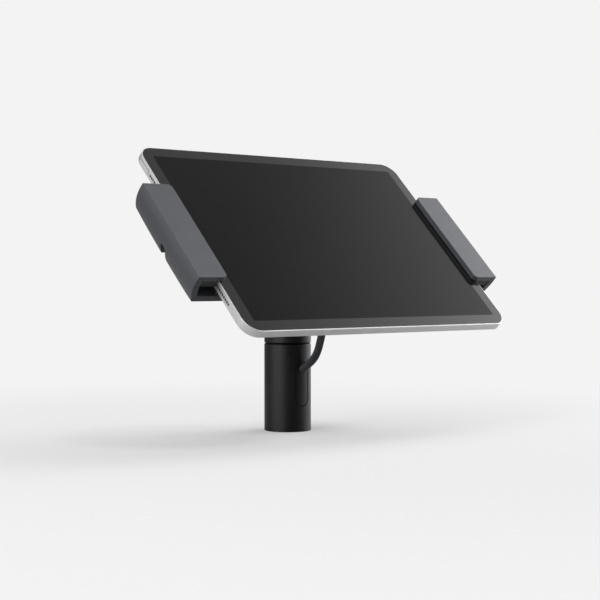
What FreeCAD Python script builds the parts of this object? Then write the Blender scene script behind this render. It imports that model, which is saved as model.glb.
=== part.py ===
import FreeCAD, Part
import math
import os
from types import SimpleNamespace

import Sketcher
from FreeCAD import Placement, Rotation, Vector

# Tablet kiosk desk stand. Millimetres and degrees.
# The origin is the centre of the post's foot on the desk. +Z is up, the tablet faces -Y and +X is to
# the right of someone who reads it. Pieces of the head are drawn in the head's own axes: x to the
# right, y up the tablet and z out of the glass, from the tilt axis. Their placement tilts them.

SIZES = (
    # Post
    ("post_diameter", 35.0, "outside of the tube and of the swivel head"),
    ("post_wall", 2.5, "wall of the tube"),
    ("post_height", 65.0, "desk to the seam"),
    ("post_chamfer", 0.4, "broken edges at both ends of the tube"),
    ("slot_width", 12.0, "cable slot in the front of the tube"),
    ("slot_drop", 12.5, "tube's top down to the slot's upper end"),
    ("slot_bottom", 19.0, "desk to the slot's lower end"),
    ("insert_play", 0.1, "gap round a piece that is pressed into the tube"),
    ("plug_height", 14.0, "base plug"),
    ("plug_bore", 7.0, "cable bore of the base plug"),
    ("desk_circle", 20.0, "circle of the three desk screws"),
    ("desk_hole", 4.2, "tapped hole for an M5 desk screw"),
    ("desk_hole_depth", 10.0, "depth of the tapped holes"),
    ("cover_play", 0.25, "gap between the slot and its cover"),
    ("cover_sink", 0.25, "cover's face below the tube's face"),
    ("cover_lip", 1.6, "how far the cover's lip reaches past the slot"),
    ("cover_lip_thickness", 1.8, "lip inside the tube"),
    # Swivel
    ("ring_height", 10.5, "ring in the top of the tube"),
    ("bush_diameter", 16.0, "swivel bush, outside"),
    ("spigot_diameter", 12.0, "journal of the swivel head"),
    ("running_play", 0.05, "radial clearance of a journal in its bore"),
    ("seam_gap", 0.8, "flange of the bush between tube and head"),
    ("seam_depth", 0.7, "how far the flange stays inside the tube's face"),
    ("stop_circle", 11.5, "radius of the stop pin from the post's axis"),
    ("stop_diameter", 3.0, "stop pin"),
    ("stop_reach", 2.0, "stop pin above the bush's flange"),
    ("stop_seat", 7.0, "stop pin inside the ring"),
    ("stop_play", 0.2, "gap round the stop pin in its groove"),
    ("swivel_limit", 90.0, "swivel each way from the front"),
    ("bolt_diameter", 8.0, "swivel bolt and tilt bolt"),
    ("bolt_head_diameter", 12.4, "heads of both bolts"),
    ("bolt_head_height", 2.8, "heads of both bolts"),
    ("thread_depth", 9.0, "swivel bolt's length in the spigot"),
    ("washer_diameter", 24.0, "friction washer under the ring"),
    ("washer_thickness", 1.0, "friction washer under the ring"),
    ("spring_diameter", 20.0, "disc springs"),
    ("spring_thickness", 0.9, "disc springs"),
    ("spring_cone", 0.5, "free height of a disc spring's cone"),
    # Tilt
    ("axis_height", 97.3, "desk to the tilt axis"),
    ("rest_tilt", 45.0, "lean of the tablet from lying flat"),
    ("ear_gap", 17.0, "between the ears of the swivel head"),
    ("ear_floor", 14.3, "tilt axis down to the floor between the ears"),
    ("ear_bore_depth", 5.3, "recess for the bolt head and for the nut"),
    ("tilt_washer_diameter", 20.0, "washers beside the knuckle"),
    ("tilt_washer_thickness", 0.8, "washers beside the knuckle"),
    ("cap_diameter", 13.8, "caps over the ends of the tilt bolt"),
    ("cap_thickness", 0.9, "caps over the ends of the tilt bolt"),
    ("nut_flats", 10.0, "tilt nut across flats"),
    ("tilt_thread", 6.0, "thread of the tilt bolt"),
    ("knuckle_diameter", 22.0, "barrel of the knuckle"),
    ("tilt_bush_wall", 1.4, "wall of the knuckle's bush"),
    ("stem_height", 15.0, "stem of the knuckle at its waist"),
    ("stem_flare", 9.0, "radius of the stem where it meets the flange"),
    ("flange_width", 46.0, "knuckle's flange, left to right"),
    ("flange_height", 33.0, "knuckle's flange, up and down"),
    ("flange_thickness", 4.0, "knuckle's flange"),
    ("flange_corner", 6.0, "corner radius of the flange"),
    ("flange_screw_inset_x", 6.0, "flange screws from the flange's sides"),
    ("flange_screw_inset_y", 5.5, "flange screws from the flange's top and foot"),
    ("flange_screw_diameter", 4.0, "M4 screws"),
    ("flange_screw_depth", 7.0, "their length in the hub"),
    ("flange_head_diameter", 7.0, "heads of the M4 screws"),
    ("flange_head_height", 2.4, "heads of the M4 screws"),
    ("flange_head_room", 1.8, "heads of the M4 screws from the knuckle's fillet"),
    ("flange_socket", 2.8, "sockets of the M4 screws"),
    ("flange_socket_depth", 1.4, "sockets of the M4 screws"),
    # Hub
    ("reach", 65.0, "tilt axis to the glass"),
    ("hub_width", 100.0, "hub, left to right"),
    ("hub_height", 56.0, "hub, up and down"),
    ("hub_corner", 9.0, "corner radius of the hub"),
    ("hub_slope", 10.0, "sloping edges of the hub's back"),
    ("plate_thickness", 1.7, "front plate of the hub"),
    ("hub_pad_thickness", 1.0, "rubber pad behind the tablet"),
    ("hub_pad_inset_x", 15.0, "rubber pad from the hub's short edges"),
    ("hub_pad_inset_y", 3.0, "rubber pad from the hub's long edges"),
    ("hub_pad_corner", 7.0, "rubber pad behind the tablet"),
    ("hub_screw_inset_x", 7.0, "hub screws from the hub's short edges"),
    ("hub_screw_inset_y", 6.0, "hub screws from the hub's long edges"),
    ("small_screw_diameter", 3.0, "M3 screws"),
    ("small_screw_depth", 8.0, "their length in the hub"),
    ("small_head_diameter", 5.6, "countersunk heads of the M3 screws"),
    ("small_head_height", 1.5, "countersunk heads of the M3 screws"),
    ("small_socket", 2.3, "sockets of the M3 screws"),
    ("small_socket_depth", 0.9, "sockets of the M3 screws"),
    ("hub_depth", 17.6, "hub behind its front plate"),
    ("gland_diameter", 8.5, "collar of the cable gland"),
    ("gland_flange_diameter", 11.0, "flange of the cable gland"),
    ("gland_flange_thickness", 1.2, "flange of the cable gland"),
    ("gland_length", 5.0, "gland outside the hub"),
    ("gland_seat", 4.0, "gland inside the hub"),
    ("lock_diameter", 4.0, "lock screw in the hub's underside"),
    ("lock_x", 27.0, "lock screw from the middle"),
    ("lock_play", 0.3, "gap between the lock screw and the arm"),
    ("lock_socket", 2.4, "socket of the lock screw"),
    ("lock_socket_depth", 2.0, "socket of the lock screw"),
    # Rack and pinion
    ("gear_module", 1.0, "module of pinion and racks"),
    ("pinion_teeth", 14, "teeth of the pinion"),
    ("rack_gaps", 13, "gaps cut in each rack"),
    ("rack_first_gap", 1.5, "pitches from the middle to the first gap, outwards"),
    ("pressure_angle", 20.0, "pressure angle"),
    ("backlash", 0.16, "play between pinion and rack teeth"),
    ("rack_addendum", 0.75, "rack tooth above its pitch line"),
    ("pinion_addendum", 0.8, "pinion tooth above its pitch circle"),
    ("tooth_clearance", 0.25, "play at the bottom of a tooth gap"),
    ("pinion_bore", 5.0, "bore of the pinion"),
    # Arms
    ("arm_thickness", 3.0, "toothed arm"),
    ("arm_play", 0.3, "gap between an arm and the hub's floor"),
    ("arm_room", 0.9, "gap between an arm and the hub's front plate"),
    ("rack_outer", 17.0, "rack's plain edge from the middle"),
    ("rack_inner_end", 37.0, "rack's end past the pinion"),
    ("arm_shoulder", 48.0, "where an arm widens"),
    ("arm_tip_height", 24.0, "height of an arm at its jaw"),
    ("arm_seat", 12.0, "arm on the jaw's back flange"),
    ("arm_slot_width", 9.0, "slot that lightens an arm"),
    ("arm_slot_start", 58.0, "slot that lightens an arm"),
    ("arm_slot_stop", 6.0, "slot's end to the jaw's back flange"),
    ("arm_screw_inset", 5.5, "arm screws from the back flange's inner edge"),
    ("arm_screw_y", 7.0, "arm screws from the middle"),
    ("jaw_travel", 30.0, "how far each jaw opens"),
    # Jaws
    ("jaw_length", 89.8, "jaw along the tablet's edge"),
    ("jaw_lap", 5.0, "front flange over the tablet's edge"),
    ("jaw_room", 18.4, "tablet's edge to the jaw's outer ridge"),
    ("jaw_front", 4.5, "front face above the glass"),
    ("skirt_sag", 3.6, "skirt's edge at mid length behind the back flange"),
    ("skirt_thickness", 12.2, "outer ridge to the skirt's inner side"),
    ("jaw_bend", 33.4, "radius of the curved side wall"),
    ("jaw_widest", 4.1, "front face down to where the side wall is widest"),
    ("jaw_wall", 4.5, "side wall"),
    ("jaw_back_wall", 4.6, "back flange"),
    ("jaw_back_lap", 12.3, "back flange behind the tablet"),
    ("jaw_corner", 3.5, "rounded corners of the front flange"),
    ("front_pad_thickness", 0.6, "rubber under the front flange"),
    ("front_pad_inset", 0.8, "pad inside the flange's inner edge"),
    ("front_pad_corner", 4.0, "rounded corners of the pad"),
    ("notch_length", 7.2, "cable notch at mid length"),
    ("notch_front", 15.2, "front face down to the notch"),
    ("notch_corner", 2.4, "rounded corners of the notch"),
    ("notch_mouth", 1.6, "rounded mouth of the notch"),
    ("notch_inset", 2.5, "notch past the skirt's inner side"),
    ("edge_block_depth", 4.7, "rubber block at the tablet's edge"),
    ("edge_block_gap", 18.0, "gap at mid length for a plug"),
    ("edge_block_play", 0.2, "gap between block and tablet"),
    ("block_end_inset", 0.4, "blocks inside the jaw's ends"),
    ("back_block_start", 1.0, "rubber block from the back flange's inner edge"),
    ("back_block_width", 8.0, "rubber block behind the tablet"),
    ("back_block_gap", 28.0, "gap at mid length for the arm"),
    # Tablet
    ("tablet_width", 248.6, "housing, left to right"),
    ("tablet_height", 178.6, "housing, up and down"),
    ("tablet_thickness", 6.7, "front of the glass to the back"),
    ("tablet_corner", 12.2, "corner radius of the housing"),
    ("rim_width", 0.6, "housing's rim round the glass"),
    ("rim_drop", 0.1, "rim below the glass"),
    ("rim_chamfer", 0.3, "bright chamfer of the rim"),
    ("back_round", 1.0, "rounded edge at the back of the housing"),
    ("glass_play", 0.05, "gap between the glass and the rim"),
    ("glass_thickness", 0.9, "cover glass"),
    ("tablet_ledge", 4.0, "housing's wall under the glass"),
    ("tablet_skin", 1.0, "housing's back"),
    ("bezel_x", 7.8, "display panel from the housing's short edges"),
    ("bezel_y", 7.3, "display panel from the housing's long edges"),
    ("display_corner", 3.0, "display panel under the glass"),
    ("display_thickness", 1.4, "display panel under the glass"),
    ("battery_inset_x", 21.3, "cells from the housing's short edges"),
    ("battery_inset_y", 34.3, "cells from the housing's long edges"),
    ("battery_gap", 6.0, "between the cells"),
    ("battery_thickness", 3.0, "one of two cells"),
    ("board_inset_x", 18.3, "logic board from the housing's short edges"),
    ("board_height", 22.0, "logic board"),
    ("board_thickness", 1.2, "logic board"),
    ("board_inset_y", 8.3, "logic board from the housing's top edge"),
    ("speaker_hole", 1.1, "speaker holes in both short edges"),
    ("speaker_pitch", 2.2, "speaker holes"),
    ("speaker_count", 12, "speaker holes in each row"),
    ("speaker_last", 62.0, "outermost speaker hole from the middle"),
    ("speaker_depth", 1.2, "depth of the speaker holes"),
    ("port_length", 9.0, "charging port, middle of the right edge"),
    ("port_height", 3.0, "charging port"),
    ("port_depth", 3.4, "charging port"),
    ("edge_middle", 3.4, "middle of the edge, from the glass"),
    ("button_height", 2.2, "side buttons, across the edge"),
    ("button_play", 0.12, "gap round a side button"),
    ("button_proud", 0.3, "side buttons stand proud"),
    ("button_seat", 0.9, "side buttons inside the edge"),
    ("button_travel", 0.25, "side buttons"),
    ("power_length", 14.0, "power button, on the left edge"),
    ("power_inset", 17.3, "power button's middle from the top edge"),
    ("volume_length", 10.0, "volume buttons, on the top edge"),
    ("volume_up_inset", 25.3, "volume up button's middle from the left edge"),
    ("volume_step", 13.0, "from the one volume button to the other"),
    ("camera_inset", 18.3, "rear camera from the left edge and from the top edge"),
    ("camera_diameter", 13.0, "ring of the rear camera"),
    ("camera_height", 1.3, "ring of the rear camera"),
    ("lens_diameter", 9.0, "lens of the rear camera"),
    ("lens_sink", 0.25, "lens below its ring's face"),
    ("flash_diameter", 4.0, "flash window"),
    ("flash_step", 14.0, "flash window from the rear camera"),
    # Cable
    ("cable_diameter", 5.7, "woven cable"),
    ("exit_drop", 5.5, "slot's upper end down to the cable where it leaves the post"),
    ("exit_hole", 7.0, "sloping hole in the slot cover"),
    ("exit_room", 0.4, "hole's middle above the cable"),
    # Cuts
    ("overcut", 1.0, "how far a cut starts or ends outside its piece"),
)

# The cable rises at this angle where it leaves the post.
EXIT_RISE = 28.0
# An arc of the cable takes this share of the shorter run beside it.
ARC_SHARE = 0.45
# The cable's route, as forward of the post's axis and up. Each stretch starts where the last one ends.
IN_POST = ((0.0, 0.0), (0.4, 12.4), (0.0, 26.4), (3.47, 35.61), (9.97, 43.0), (17.5, 47.0))
LOWER_ROUTE = ((17.5, 47.0), (23.6, 50.24), (30.2, 54.75), (34.4, 60.9), (36.9, 67.6), (38.7, 73.1))
UPPER_ROUTE = ((38.7, 73.1), (40.86, 79.7), (44.2, 88.4), (46.67, 97.3), (46.67, 106.44))

doc = FreeCAD.newDocument("TabletKioskStand")
sheet = doc.addObject("Spreadsheet::Sheet", "Sizes")
for row, (name, number, note) in enumerate(SIZES, 1):
    sheet.set("A%d" % row, note)
    sheet.set("B%d" % row, str(number))
    sheet.setAlias("B%d" % row, name)
doc.recompute()


class Size:
    """A number together with the spreadsheet formula that gives it."""

    def __init__(self, number, formula=None):
        self.number = float(number)
        self.formula = repr(float(number)) if formula is None else formula

    def __add__(self, other):
        other = size(other)
        return Size(self.number + other.number, "(%s + %s)" % (self.formula, other.formula))

    def __sub__(self, other):
        other = size(other)
        return Size(self.number - other.number, "(%s - %s)" % (self.formula, other.formula))

    def __mul__(self, other):
        other = size(other)
        return Size(self.number * other.number, "(%s * %s)" % (self.formula, other.formula))

    def __truediv__(self, other):
        other = size(other)
        return Size(self.number / other.number, "(%s / %s)" % (self.formula, other.formula))

    def __radd__(self, other):
        return size(other) + self

    def __rsub__(self, other):
        return size(other) - self

    def __rmul__(self, other):
        return size(other) * self

    def __neg__(self):
        return Size(-self.number, "(-1 * %s)" % self.formula)


def size(item):
    return item if isinstance(item, Size) else Size(item)


def root(item):
    return Size(math.sqrt(item.number), "sqrt(%s)" % item.formula)


def sine(degrees):
    return Size(math.sin(math.radians(degrees.number)), "sin(%s)" % degrees.formula)


def cosine(degrees):
    return Size(math.cos(math.radians(degrees.number)), "cos(%s)" % degrees.formula)


def tangent(degrees):
    return Size(math.tan(math.radians(degrees.number)), "tan(%s)" % degrees.formula)


s = SimpleNamespace(**{name: Size(sheet.get(name), "Sizes." + name) for name, _, _ in SIZES})

# Sizes that several pieces share
post_radius = s.post_diameter / 2
tube_bore_radius = post_radius - s.post_wall
slot_length = s.post_height - s.slot_drop - s.slot_bottom
exit_height = s.post_height - s.slot_drop - s.exit_drop
ring_floor = s.post_height - s.ring_height
head_floor = s.post_height + s.seam_gap
stack_top = ring_floor - s.washer_thickness
bolt_head_top = stack_top - 2 * (s.spring_thickness + s.spring_cone)
knuckle_half = s.ear_gap / 2 - s.tilt_washer_thickness
tablet_back = s.reach - s.tablet_thickness
pad_back = tablet_back - s.hub_pad_thickness
plate_back = pad_back - s.plate_thickness
back_of_hub = plate_back - s.hub_depth
hub_screw_x = s.hub_width / 2 - s.hub_screw_inset_x
hub_screw_y = s.hub_height / 2 - s.hub_screw_inset_y
hub_pad_width = s.hub_width - 2 * s.hub_pad_inset_x
hub_pad_height = s.hub_height - 2 * s.hub_pad_inset_y
flange_screw_x = s.flange_width / 2 - s.flange_screw_inset_x
flange_screw_y = s.flange_height / 2 - s.flange_screw_inset_y
tablet_half = s.tablet_width / 2
tablet_half_height = s.tablet_height / 2
jaw_inner = tablet_half - s.jaw_lap
jaw_outer = tablet_half + s.jaw_room
jaw_back_inner = tablet_half - s.jaw_back_lap
skirt_inner = jaw_outer - s.skirt_thickness
notch_reach = skirt_inner - s.notch_inset
back_block_inner = jaw_back_inner + s.back_block_start
back_block_outer = back_block_inner + s.back_block_width
jaw_top = s.reach + s.jaw_front
jaw_floor = plate_back - s.arm_room - s.arm_thickness
jaw_back = jaw_floor - s.jaw_back_wall
skirt_back = jaw_back - s.skirt_sag
jaw_ceiling = s.reach + s.front_pad_thickness
hub_channel_floor = jaw_floor - s.arm_play
pitch_radius = s.gear_module * s.pinion_teeth / 2
tooth_pitch = s.gear_module * math.pi
arm_tip = jaw_back_inner + s.arm_seat
arm_slot_end = jaw_back_inner - s.arm_slot_stop
arm_screw_x = jaw_back_inner + s.arm_screw_inset
display_width = s.tablet_width - 2 * s.bezel_x
display_height = s.tablet_height - 2 * s.bezel_y
battery_width = tablet_half - s.battery_inset_x - s.battery_gap / 2
battery_height = s.tablet_height - 2 * s.battery_inset_y
board_width = s.tablet_width - 2 * s.board_inset_x
board_y = tablet_half_height - s.board_inset_y - s.board_height / 2
power_y = tablet_half_height - s.power_inset
volume_up_x = tablet_half - s.volume_up_inset
volume_down_x = volume_up_x - s.volume_step
camera_x = tablet_half - s.camera_inset
camera_y = tablet_half_height - s.camera_inset
flash_x = camera_x - s.flash_step
cable_radius = s.cable_diameter / 2

parts = []


# Drawing helpers

def bind(item, target, amount):
    item.setExpression(target, size(amount).formula)


def keep(item):
    parts.append(item)
    return item


def new_body(label):
    body = doc.addObject("PartDesign::Body", label)
    body.Label = label
    return keep(body)


def sketch_on(body, name, role, offset=0):
    """A sketch on one of the body's own origin planes, moved along the plane's normal."""
    sketch = body.newObject("Sketcher::SketchObject", body.Name + "_" + name)
    plane = next(f for f in body.Origin.OriginFeatures if f.Role == role)
    sketch.AttachmentSupport = [(plane, "")]
    sketch.MapMode = "FlatFace"
    bind(sketch, "AttachmentOffset.Base.z", offset)
    return sketch


def pin_point(sketch, geometry, end, x, y):
    for kind, amount in (("DistanceX", x), ("DistanceY", y)):
        amount = size(amount)
        number = sketch.addConstraint(Sketcher.Constraint(kind, -1, 1, geometry, end, amount.number))
        sketch.setExpression("Constraints[%d]" % number, amount.formula)


def set_radius(sketch, geometry, radius):
    radius = size(radius)
    number = sketch.addConstraint(Sketcher.Constraint("Radius", geometry, radius.number))
    sketch.setExpression("Constraints[%d]" % number, radius.formula)


def circle(sketch, x, y, radius):
    x, y, radius = size(x), size(y), size(radius)
    middle = Vector(x.number, y.number, 0)
    geometry = sketch.addGeometry(Part.Circle(middle, Vector(0, 0, 1), radius.number), False)
    pin_point(sketch, geometry, 3, x, y)
    set_radius(sketch, geometry, radius)


def arc_centre(start, end, radius):
    """Centre of the short arc from start to end; a positive radius turns left."""
    chord = end - start
    across = Vector(-chord.y, chord.x, 0).normalize()
    rise = math.sqrt(max(radius * radius - chord.Length ** 2 / 4, 0))
    return (start + end) / 2 + across * (rise if radius > 0 else -rise)


def outline(sketch, corners, arcs=None):
    """A closed outline. arcs gives the radius of the arc that leaves a corner, by the corner's number."""
    arcs = arcs or {}
    corners = [(size(x), size(y)) for x, y in corners]
    points = [Vector(x.number, y.number, 0) for x, y in corners]
    starts, ends = [], []
    for i, start in enumerate(points):
        end = points[(i + 1) % len(points)]
        if i not in arcs:
            geometry = sketch.addGeometry(Part.LineSegment(start, end), False)
            starts.append((geometry, 1))
            ends.append((geometry, 2))
            continue
        radius = size(arcs[i])
        middle = arc_centre(start, end, radius.number)
        ring = Part.Circle(middle, Vector(0, 0, 1), abs(radius.number))
        first, last = (start, end) if radius.number > 0 else (end, start)
        angles = [math.atan2(p.y - middle.y, p.x - middle.x) for p in (first, last)]
        geometry = sketch.addGeometry(Part.ArcOfCircle(ring, angles[0], angles[1]), False)
        starts.append((geometry, 1 if radius.number > 0 else 2))
        ends.append((geometry, 2 if radius.number > 0 else 1))
    for i, (x, y) in enumerate(corners):
        geometry, end = starts[i]
        before, before_end = ends[i - 1]
        sketch.addConstraint(Sketcher.Constraint("Coincident", before, before_end, geometry, end))
        pin_point(sketch, geometry, end, x, y)
    for i, radius in arcs.items():
        radius = size(radius)
        set_radius(sketch, starts[i][0], radius if radius.number > 0 else -radius)


def rectangle(sketch, x0, y0, x1, y1):
    outline(sketch, [(x0, y0), (x1, y0), (x1, y1), (x0, y1)])


def rounded_rectangle(sketch, x0, y0, x1, y1, radius):
    corners = [(x0 + radius, y0), (x1 - radius, y0), (x1, y0 + radius), (x1, y1 - radius)]
    corners += [(x1 - radius, y1), (x0 + radius, y1), (x0, y1 - radius), (x0, y0 + radius)]
    outline(sketch, corners, {1: radius, 3: radius, 5: radius, 7: radius})


def obround(sketch, x, y, length, width, upright=False):
    """Two half circles joined by straight sides, centred on x, y."""
    x, y, length, width = size(x), size(y), size(length), size(width)
    shift = (length - width) / 2
    radius = width.number / 2
    along = Vector(0, shift.number, 0) if upright else Vector(shift.number, 0, 0)
    middle = Vector(x.number, y.number, 0)
    turn = math.pi / 2 if upright else 0
    normal = Vector(0, 0, 1)
    right = turn - math.pi / 2
    left = turn + math.pi / 2
    far = Part.ArcOfCircle(Part.Circle(middle + along, normal, radius), right, left)
    near = Part.ArcOfCircle(Part.Circle(middle - along, normal, radius), left, right + 2 * math.pi)
    sides = [Part.LineSegment(far.EndPoint, near.StartPoint),
             Part.LineSegment(near.EndPoint, far.StartPoint)]
    a, b = sketch.addGeometry(far, False), sketch.addGeometry(near, False)
    c, d = sketch.addGeometry(sides[0], False), sketch.addGeometry(sides[1], False)
    for left, left_end, right, right_end in ((a, 2, c, 1), (c, 2, b, 1), (b, 2, d, 1), (d, 2, a, 1)):
        sketch.addConstraint(Sketcher.Constraint("Tangent", left, left_end, right, right_end))
    if upright:
        pin_point(sketch, a, 3, x, y + shift)
        pin_point(sketch, b, 3, x, y - shift)
    else:
        pin_point(sketch, a, 3, x + shift, y)
        pin_point(sketch, b, 3, x - shift, y)
    set_radius(sketch, a, width / 2)
    sketch.addConstraint(Sketcher.Constraint("Equal", a, b))


def pad(body, sketch, length, midplane=False, backwards=False):
    feature = body.newObject("PartDesign::Pad", sketch.Name + "_pad")
    feature.Profile = sketch
    bind(feature, "Length", length)
    feature.Midplane = midplane
    feature.Reversed = backwards
    return feature


def pocket(body, sketch, length, midplane=False, forwards=False):
    """Cuts against the sketch's normal, or along it where forwards is set."""
    feature = body.newObject("PartDesign::Pocket", sketch.Name + "_pocket")
    feature.Profile = sketch
    bind(feature, "Length", length)
    feature.Midplane = midplane
    feature.Reversed = forwards
    return feature


def revolution(body, sketch):
    """Turns the profile about the sketch's upright axis."""
    feature = body.newObject("PartDesign::Revolution", sketch.Name + "_turned")
    feature.Profile = sketch
    feature.ReferenceAxis = (sketch, ["V_Axis"])
    feature.Angle = 360
    return feature


def around(body, feature, sketch, count):
    pattern = body.newObject("PartDesign::PolarPattern", feature.Name + "_around")
    pattern.Originals = [feature]
    pattern.Axis = (sketch, ["N_Axis"])
    pattern.Angle = 360
    bind(pattern, "Occurrences", count)
    body.Tip = pattern
    return pattern


def in_a_row(body, feature, sketch, axis, pitch, count, backwards=False):
    pattern = body.newObject("PartDesign::LinearPattern", feature.Name + "_row")
    pattern.Originals = [feature]
    pattern.Direction = (sketch, [axis])
    pattern.Mode = "Spacing"
    bind(pattern, "Offset", pitch)
    bind(pattern, "Occurrences", count)
    pattern.Reversed = backwards
    body.Tip = pattern
    return pattern


def edges_where(feature, test):
    """Names of the edges whose two ends and middle all pass the test."""
    doc.recompute()
    names = []
    for number, edge in enumerate(feature.Shape.Edges, 1):
        middle = edge.valueAt((edge.FirstParameter + edge.LastParameter) / 2)
        if all(test(p) for p in [v.Point for v in edge.Vertexes] + [middle]):
            names.append("Edge%d" % number)
    return names


def dress(body, kind, feature, test, prop, amount):
    names = edges_where(feature, test)
    if not names:
        raise ValueError("%s: no edge to dress on %s" % (body.Label, feature.Name))
    item = body.newObject("PartDesign::" + kind, feature.Name + "_" + kind.lower())
    item.Base = (feature, names)
    bind(item, prop, amount)
    return item


def chamfer(body, feature, test, amount):
    return dress(body, "Chamfer", feature, test, "Size", amount)


def fillet(body, feature, test, amount):
    return dress(body, "Fillet", feature, test, "Radius", amount)


def near(value, target):
    return abs(value - size(target).number) < 1e-3


def on_the_head(item):
    """Tilts a piece that is drawn in the head's axes to where it sits at rest."""
    item.Placement = Placement(Vector(0, 0, 0), Rotation(Vector(1, 0, 0), s.rest_tilt.number))
    bind(item, "Placement.Rotation.Angle", s.rest_tilt)
    bind(item, "Placement.Base.z", s.axis_height)
    return item


# Post

def make_post_tube():
    body = new_body("post_tube")
    ring = sketch_on(body, "ring", "XY_Plane")
    circle(ring, 0, 0, post_radius)
    circle(ring, 0, 0, tube_bore_radius)
    tube = pad(body, ring, s.post_height)
    ends = chamfer(body, tube, lambda p: near(math.hypot(p.x, p.y), post_radius)
                   and (near(p.z, 0) or near(p.z, s.post_height)), s.post_chamfer)
    slot = sketch_on(body, "slot", "XZ_Plane")
    obround(slot, 0, s.slot_bottom + slot_length / 2, slot_length, s.slot_width, upright=True)
    pocket(body, slot, post_radius + s.overcut, forwards=True)
    return ends


def make_base_plug():
    body = new_body("base_plug")
    disc = sketch_on(body, "disc", "XY_Plane")
    circle(disc, 0, 0, tube_bore_radius - s.insert_play)
    circle(disc, 0, 0, s.plug_bore / 2)
    plug = pad(body, disc, s.plug_height)
    top = chamfer(body, plug, lambda p: near(p.z, s.plug_height), s.post_chamfer)
    hole = sketch_on(body, "hole", "XY_Plane")
    circle(hole, 0, s.desk_circle / 2, s.desk_hole / 2)
    around(body, pocket(body, hole, s.desk_hole_depth, forwards=True), hole, size(3))
    return top


def make_slot_cover():
    """A curved plate that fills the slot, with a lip inside the tube and a sloping hole for the cable."""
    body = new_body("slot_cover")
    middle = s.slot_bottom + slot_length / 2
    lip_outside = tube_bore_radius - s.insert_play
    lip = sketch_on(body, "lip", "XZ_Plane")
    lip_width = s.slot_width + 2 * s.cover_lip
    obround(lip, 0, middle, slot_length + 2 * s.cover_lip, lip_width, upright=True)
    pad(body, lip, post_radius)
    trim_round(body, "lip_side", lip_outside)
    face = sketch_on(body, "face", "XZ_Plane")
    face_length = slot_length - 2 * s.cover_play
    face_width = s.slot_width - 2 * s.cover_play
    obround(face, 0, middle, face_length, face_width, upright=True)
    pad(body, face, post_radius)
    trim_round(body, "face_side", post_radius - s.cover_sink)
    inside = sketch_on(body, "inside", "XY_Plane")
    circle(inside, 0, 0, lip_outside - s.cover_lip_thickness)
    pocket(body, inside, s.post_height, forwards=True)
    hole = sketch_on(body, "cable_hole", "XY_Plane")
    hole.AttachmentOffset = Placement(Vector(0, 0, 0), Rotation(Vector(1, 0, 0), 90 - EXIT_RISE))
    bind(hole, "AttachmentOffset.Base.y", -post_radius)
    bind(hole, "AttachmentOffset.Base.z", exit_height + s.exit_room)
    circle(hole, 0, 0, s.exit_hole / 2)
    pocket(body, hole, s.post_diameter, midplane=True)


def trim_round(body, name, radius):
    """Cuts away what lies further than radius from the post's axis."""
    ring = sketch_on(body, name, "XY_Plane")
    circle(ring, 0, 0, s.post_diameter)
    circle(ring, 0, 0, radius)
    pocket(body, ring, s.post_height, forwards=True)


def make_top_ring():
    body = new_body("top_ring")
    ring = sketch_on(body, "ring", "XY_Plane", ring_floor)
    circle(ring, 0, 0, tube_bore_radius - s.insert_play)
    circle(ring, 0, 0, s.bush_diameter / 2 + s.running_play)
    pad(body, ring, s.ring_height)
    hole = sketch_on(body, "pin_hole", "XY_Plane", s.post_height)
    circle(hole, 0, s.stop_circle, s.stop_diameter / 2 + s.running_play)
    pocket(body, hole, s.stop_seat)


def make_swivel_bush():
    body = new_body("swivel_bush")
    bore = s.spigot_diameter / 2 + s.running_play
    flange = post_radius - s.seam_depth
    profile = sketch_on(body, "profile", "XZ_Plane")
    outline(profile, [(bore, ring_floor), (s.bush_diameter / 2, ring_floor),
                      (s.bush_diameter / 2, s.post_height), (flange, s.post_height),
                      (flange, head_floor), (bore, head_floor)])
    revolution(body, profile)
    hole = sketch_on(body, "pin_hole", "XY_Plane", head_floor)
    circle(hole, 0, s.stop_circle, s.stop_diameter / 2 + s.stop_play)
    pocket(body, hole, s.seam_gap)


def make_stop_pin():
    body = new_body("stop_pin")
    pin_floor = s.post_height - s.stop_seat
    face = sketch_on(body, "face", "XY_Plane", pin_floor)
    circle(face, 0, s.stop_circle, s.stop_diameter / 2)
    pad(body, face, head_floor + s.stop_reach - pin_floor)


# Neck

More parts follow.
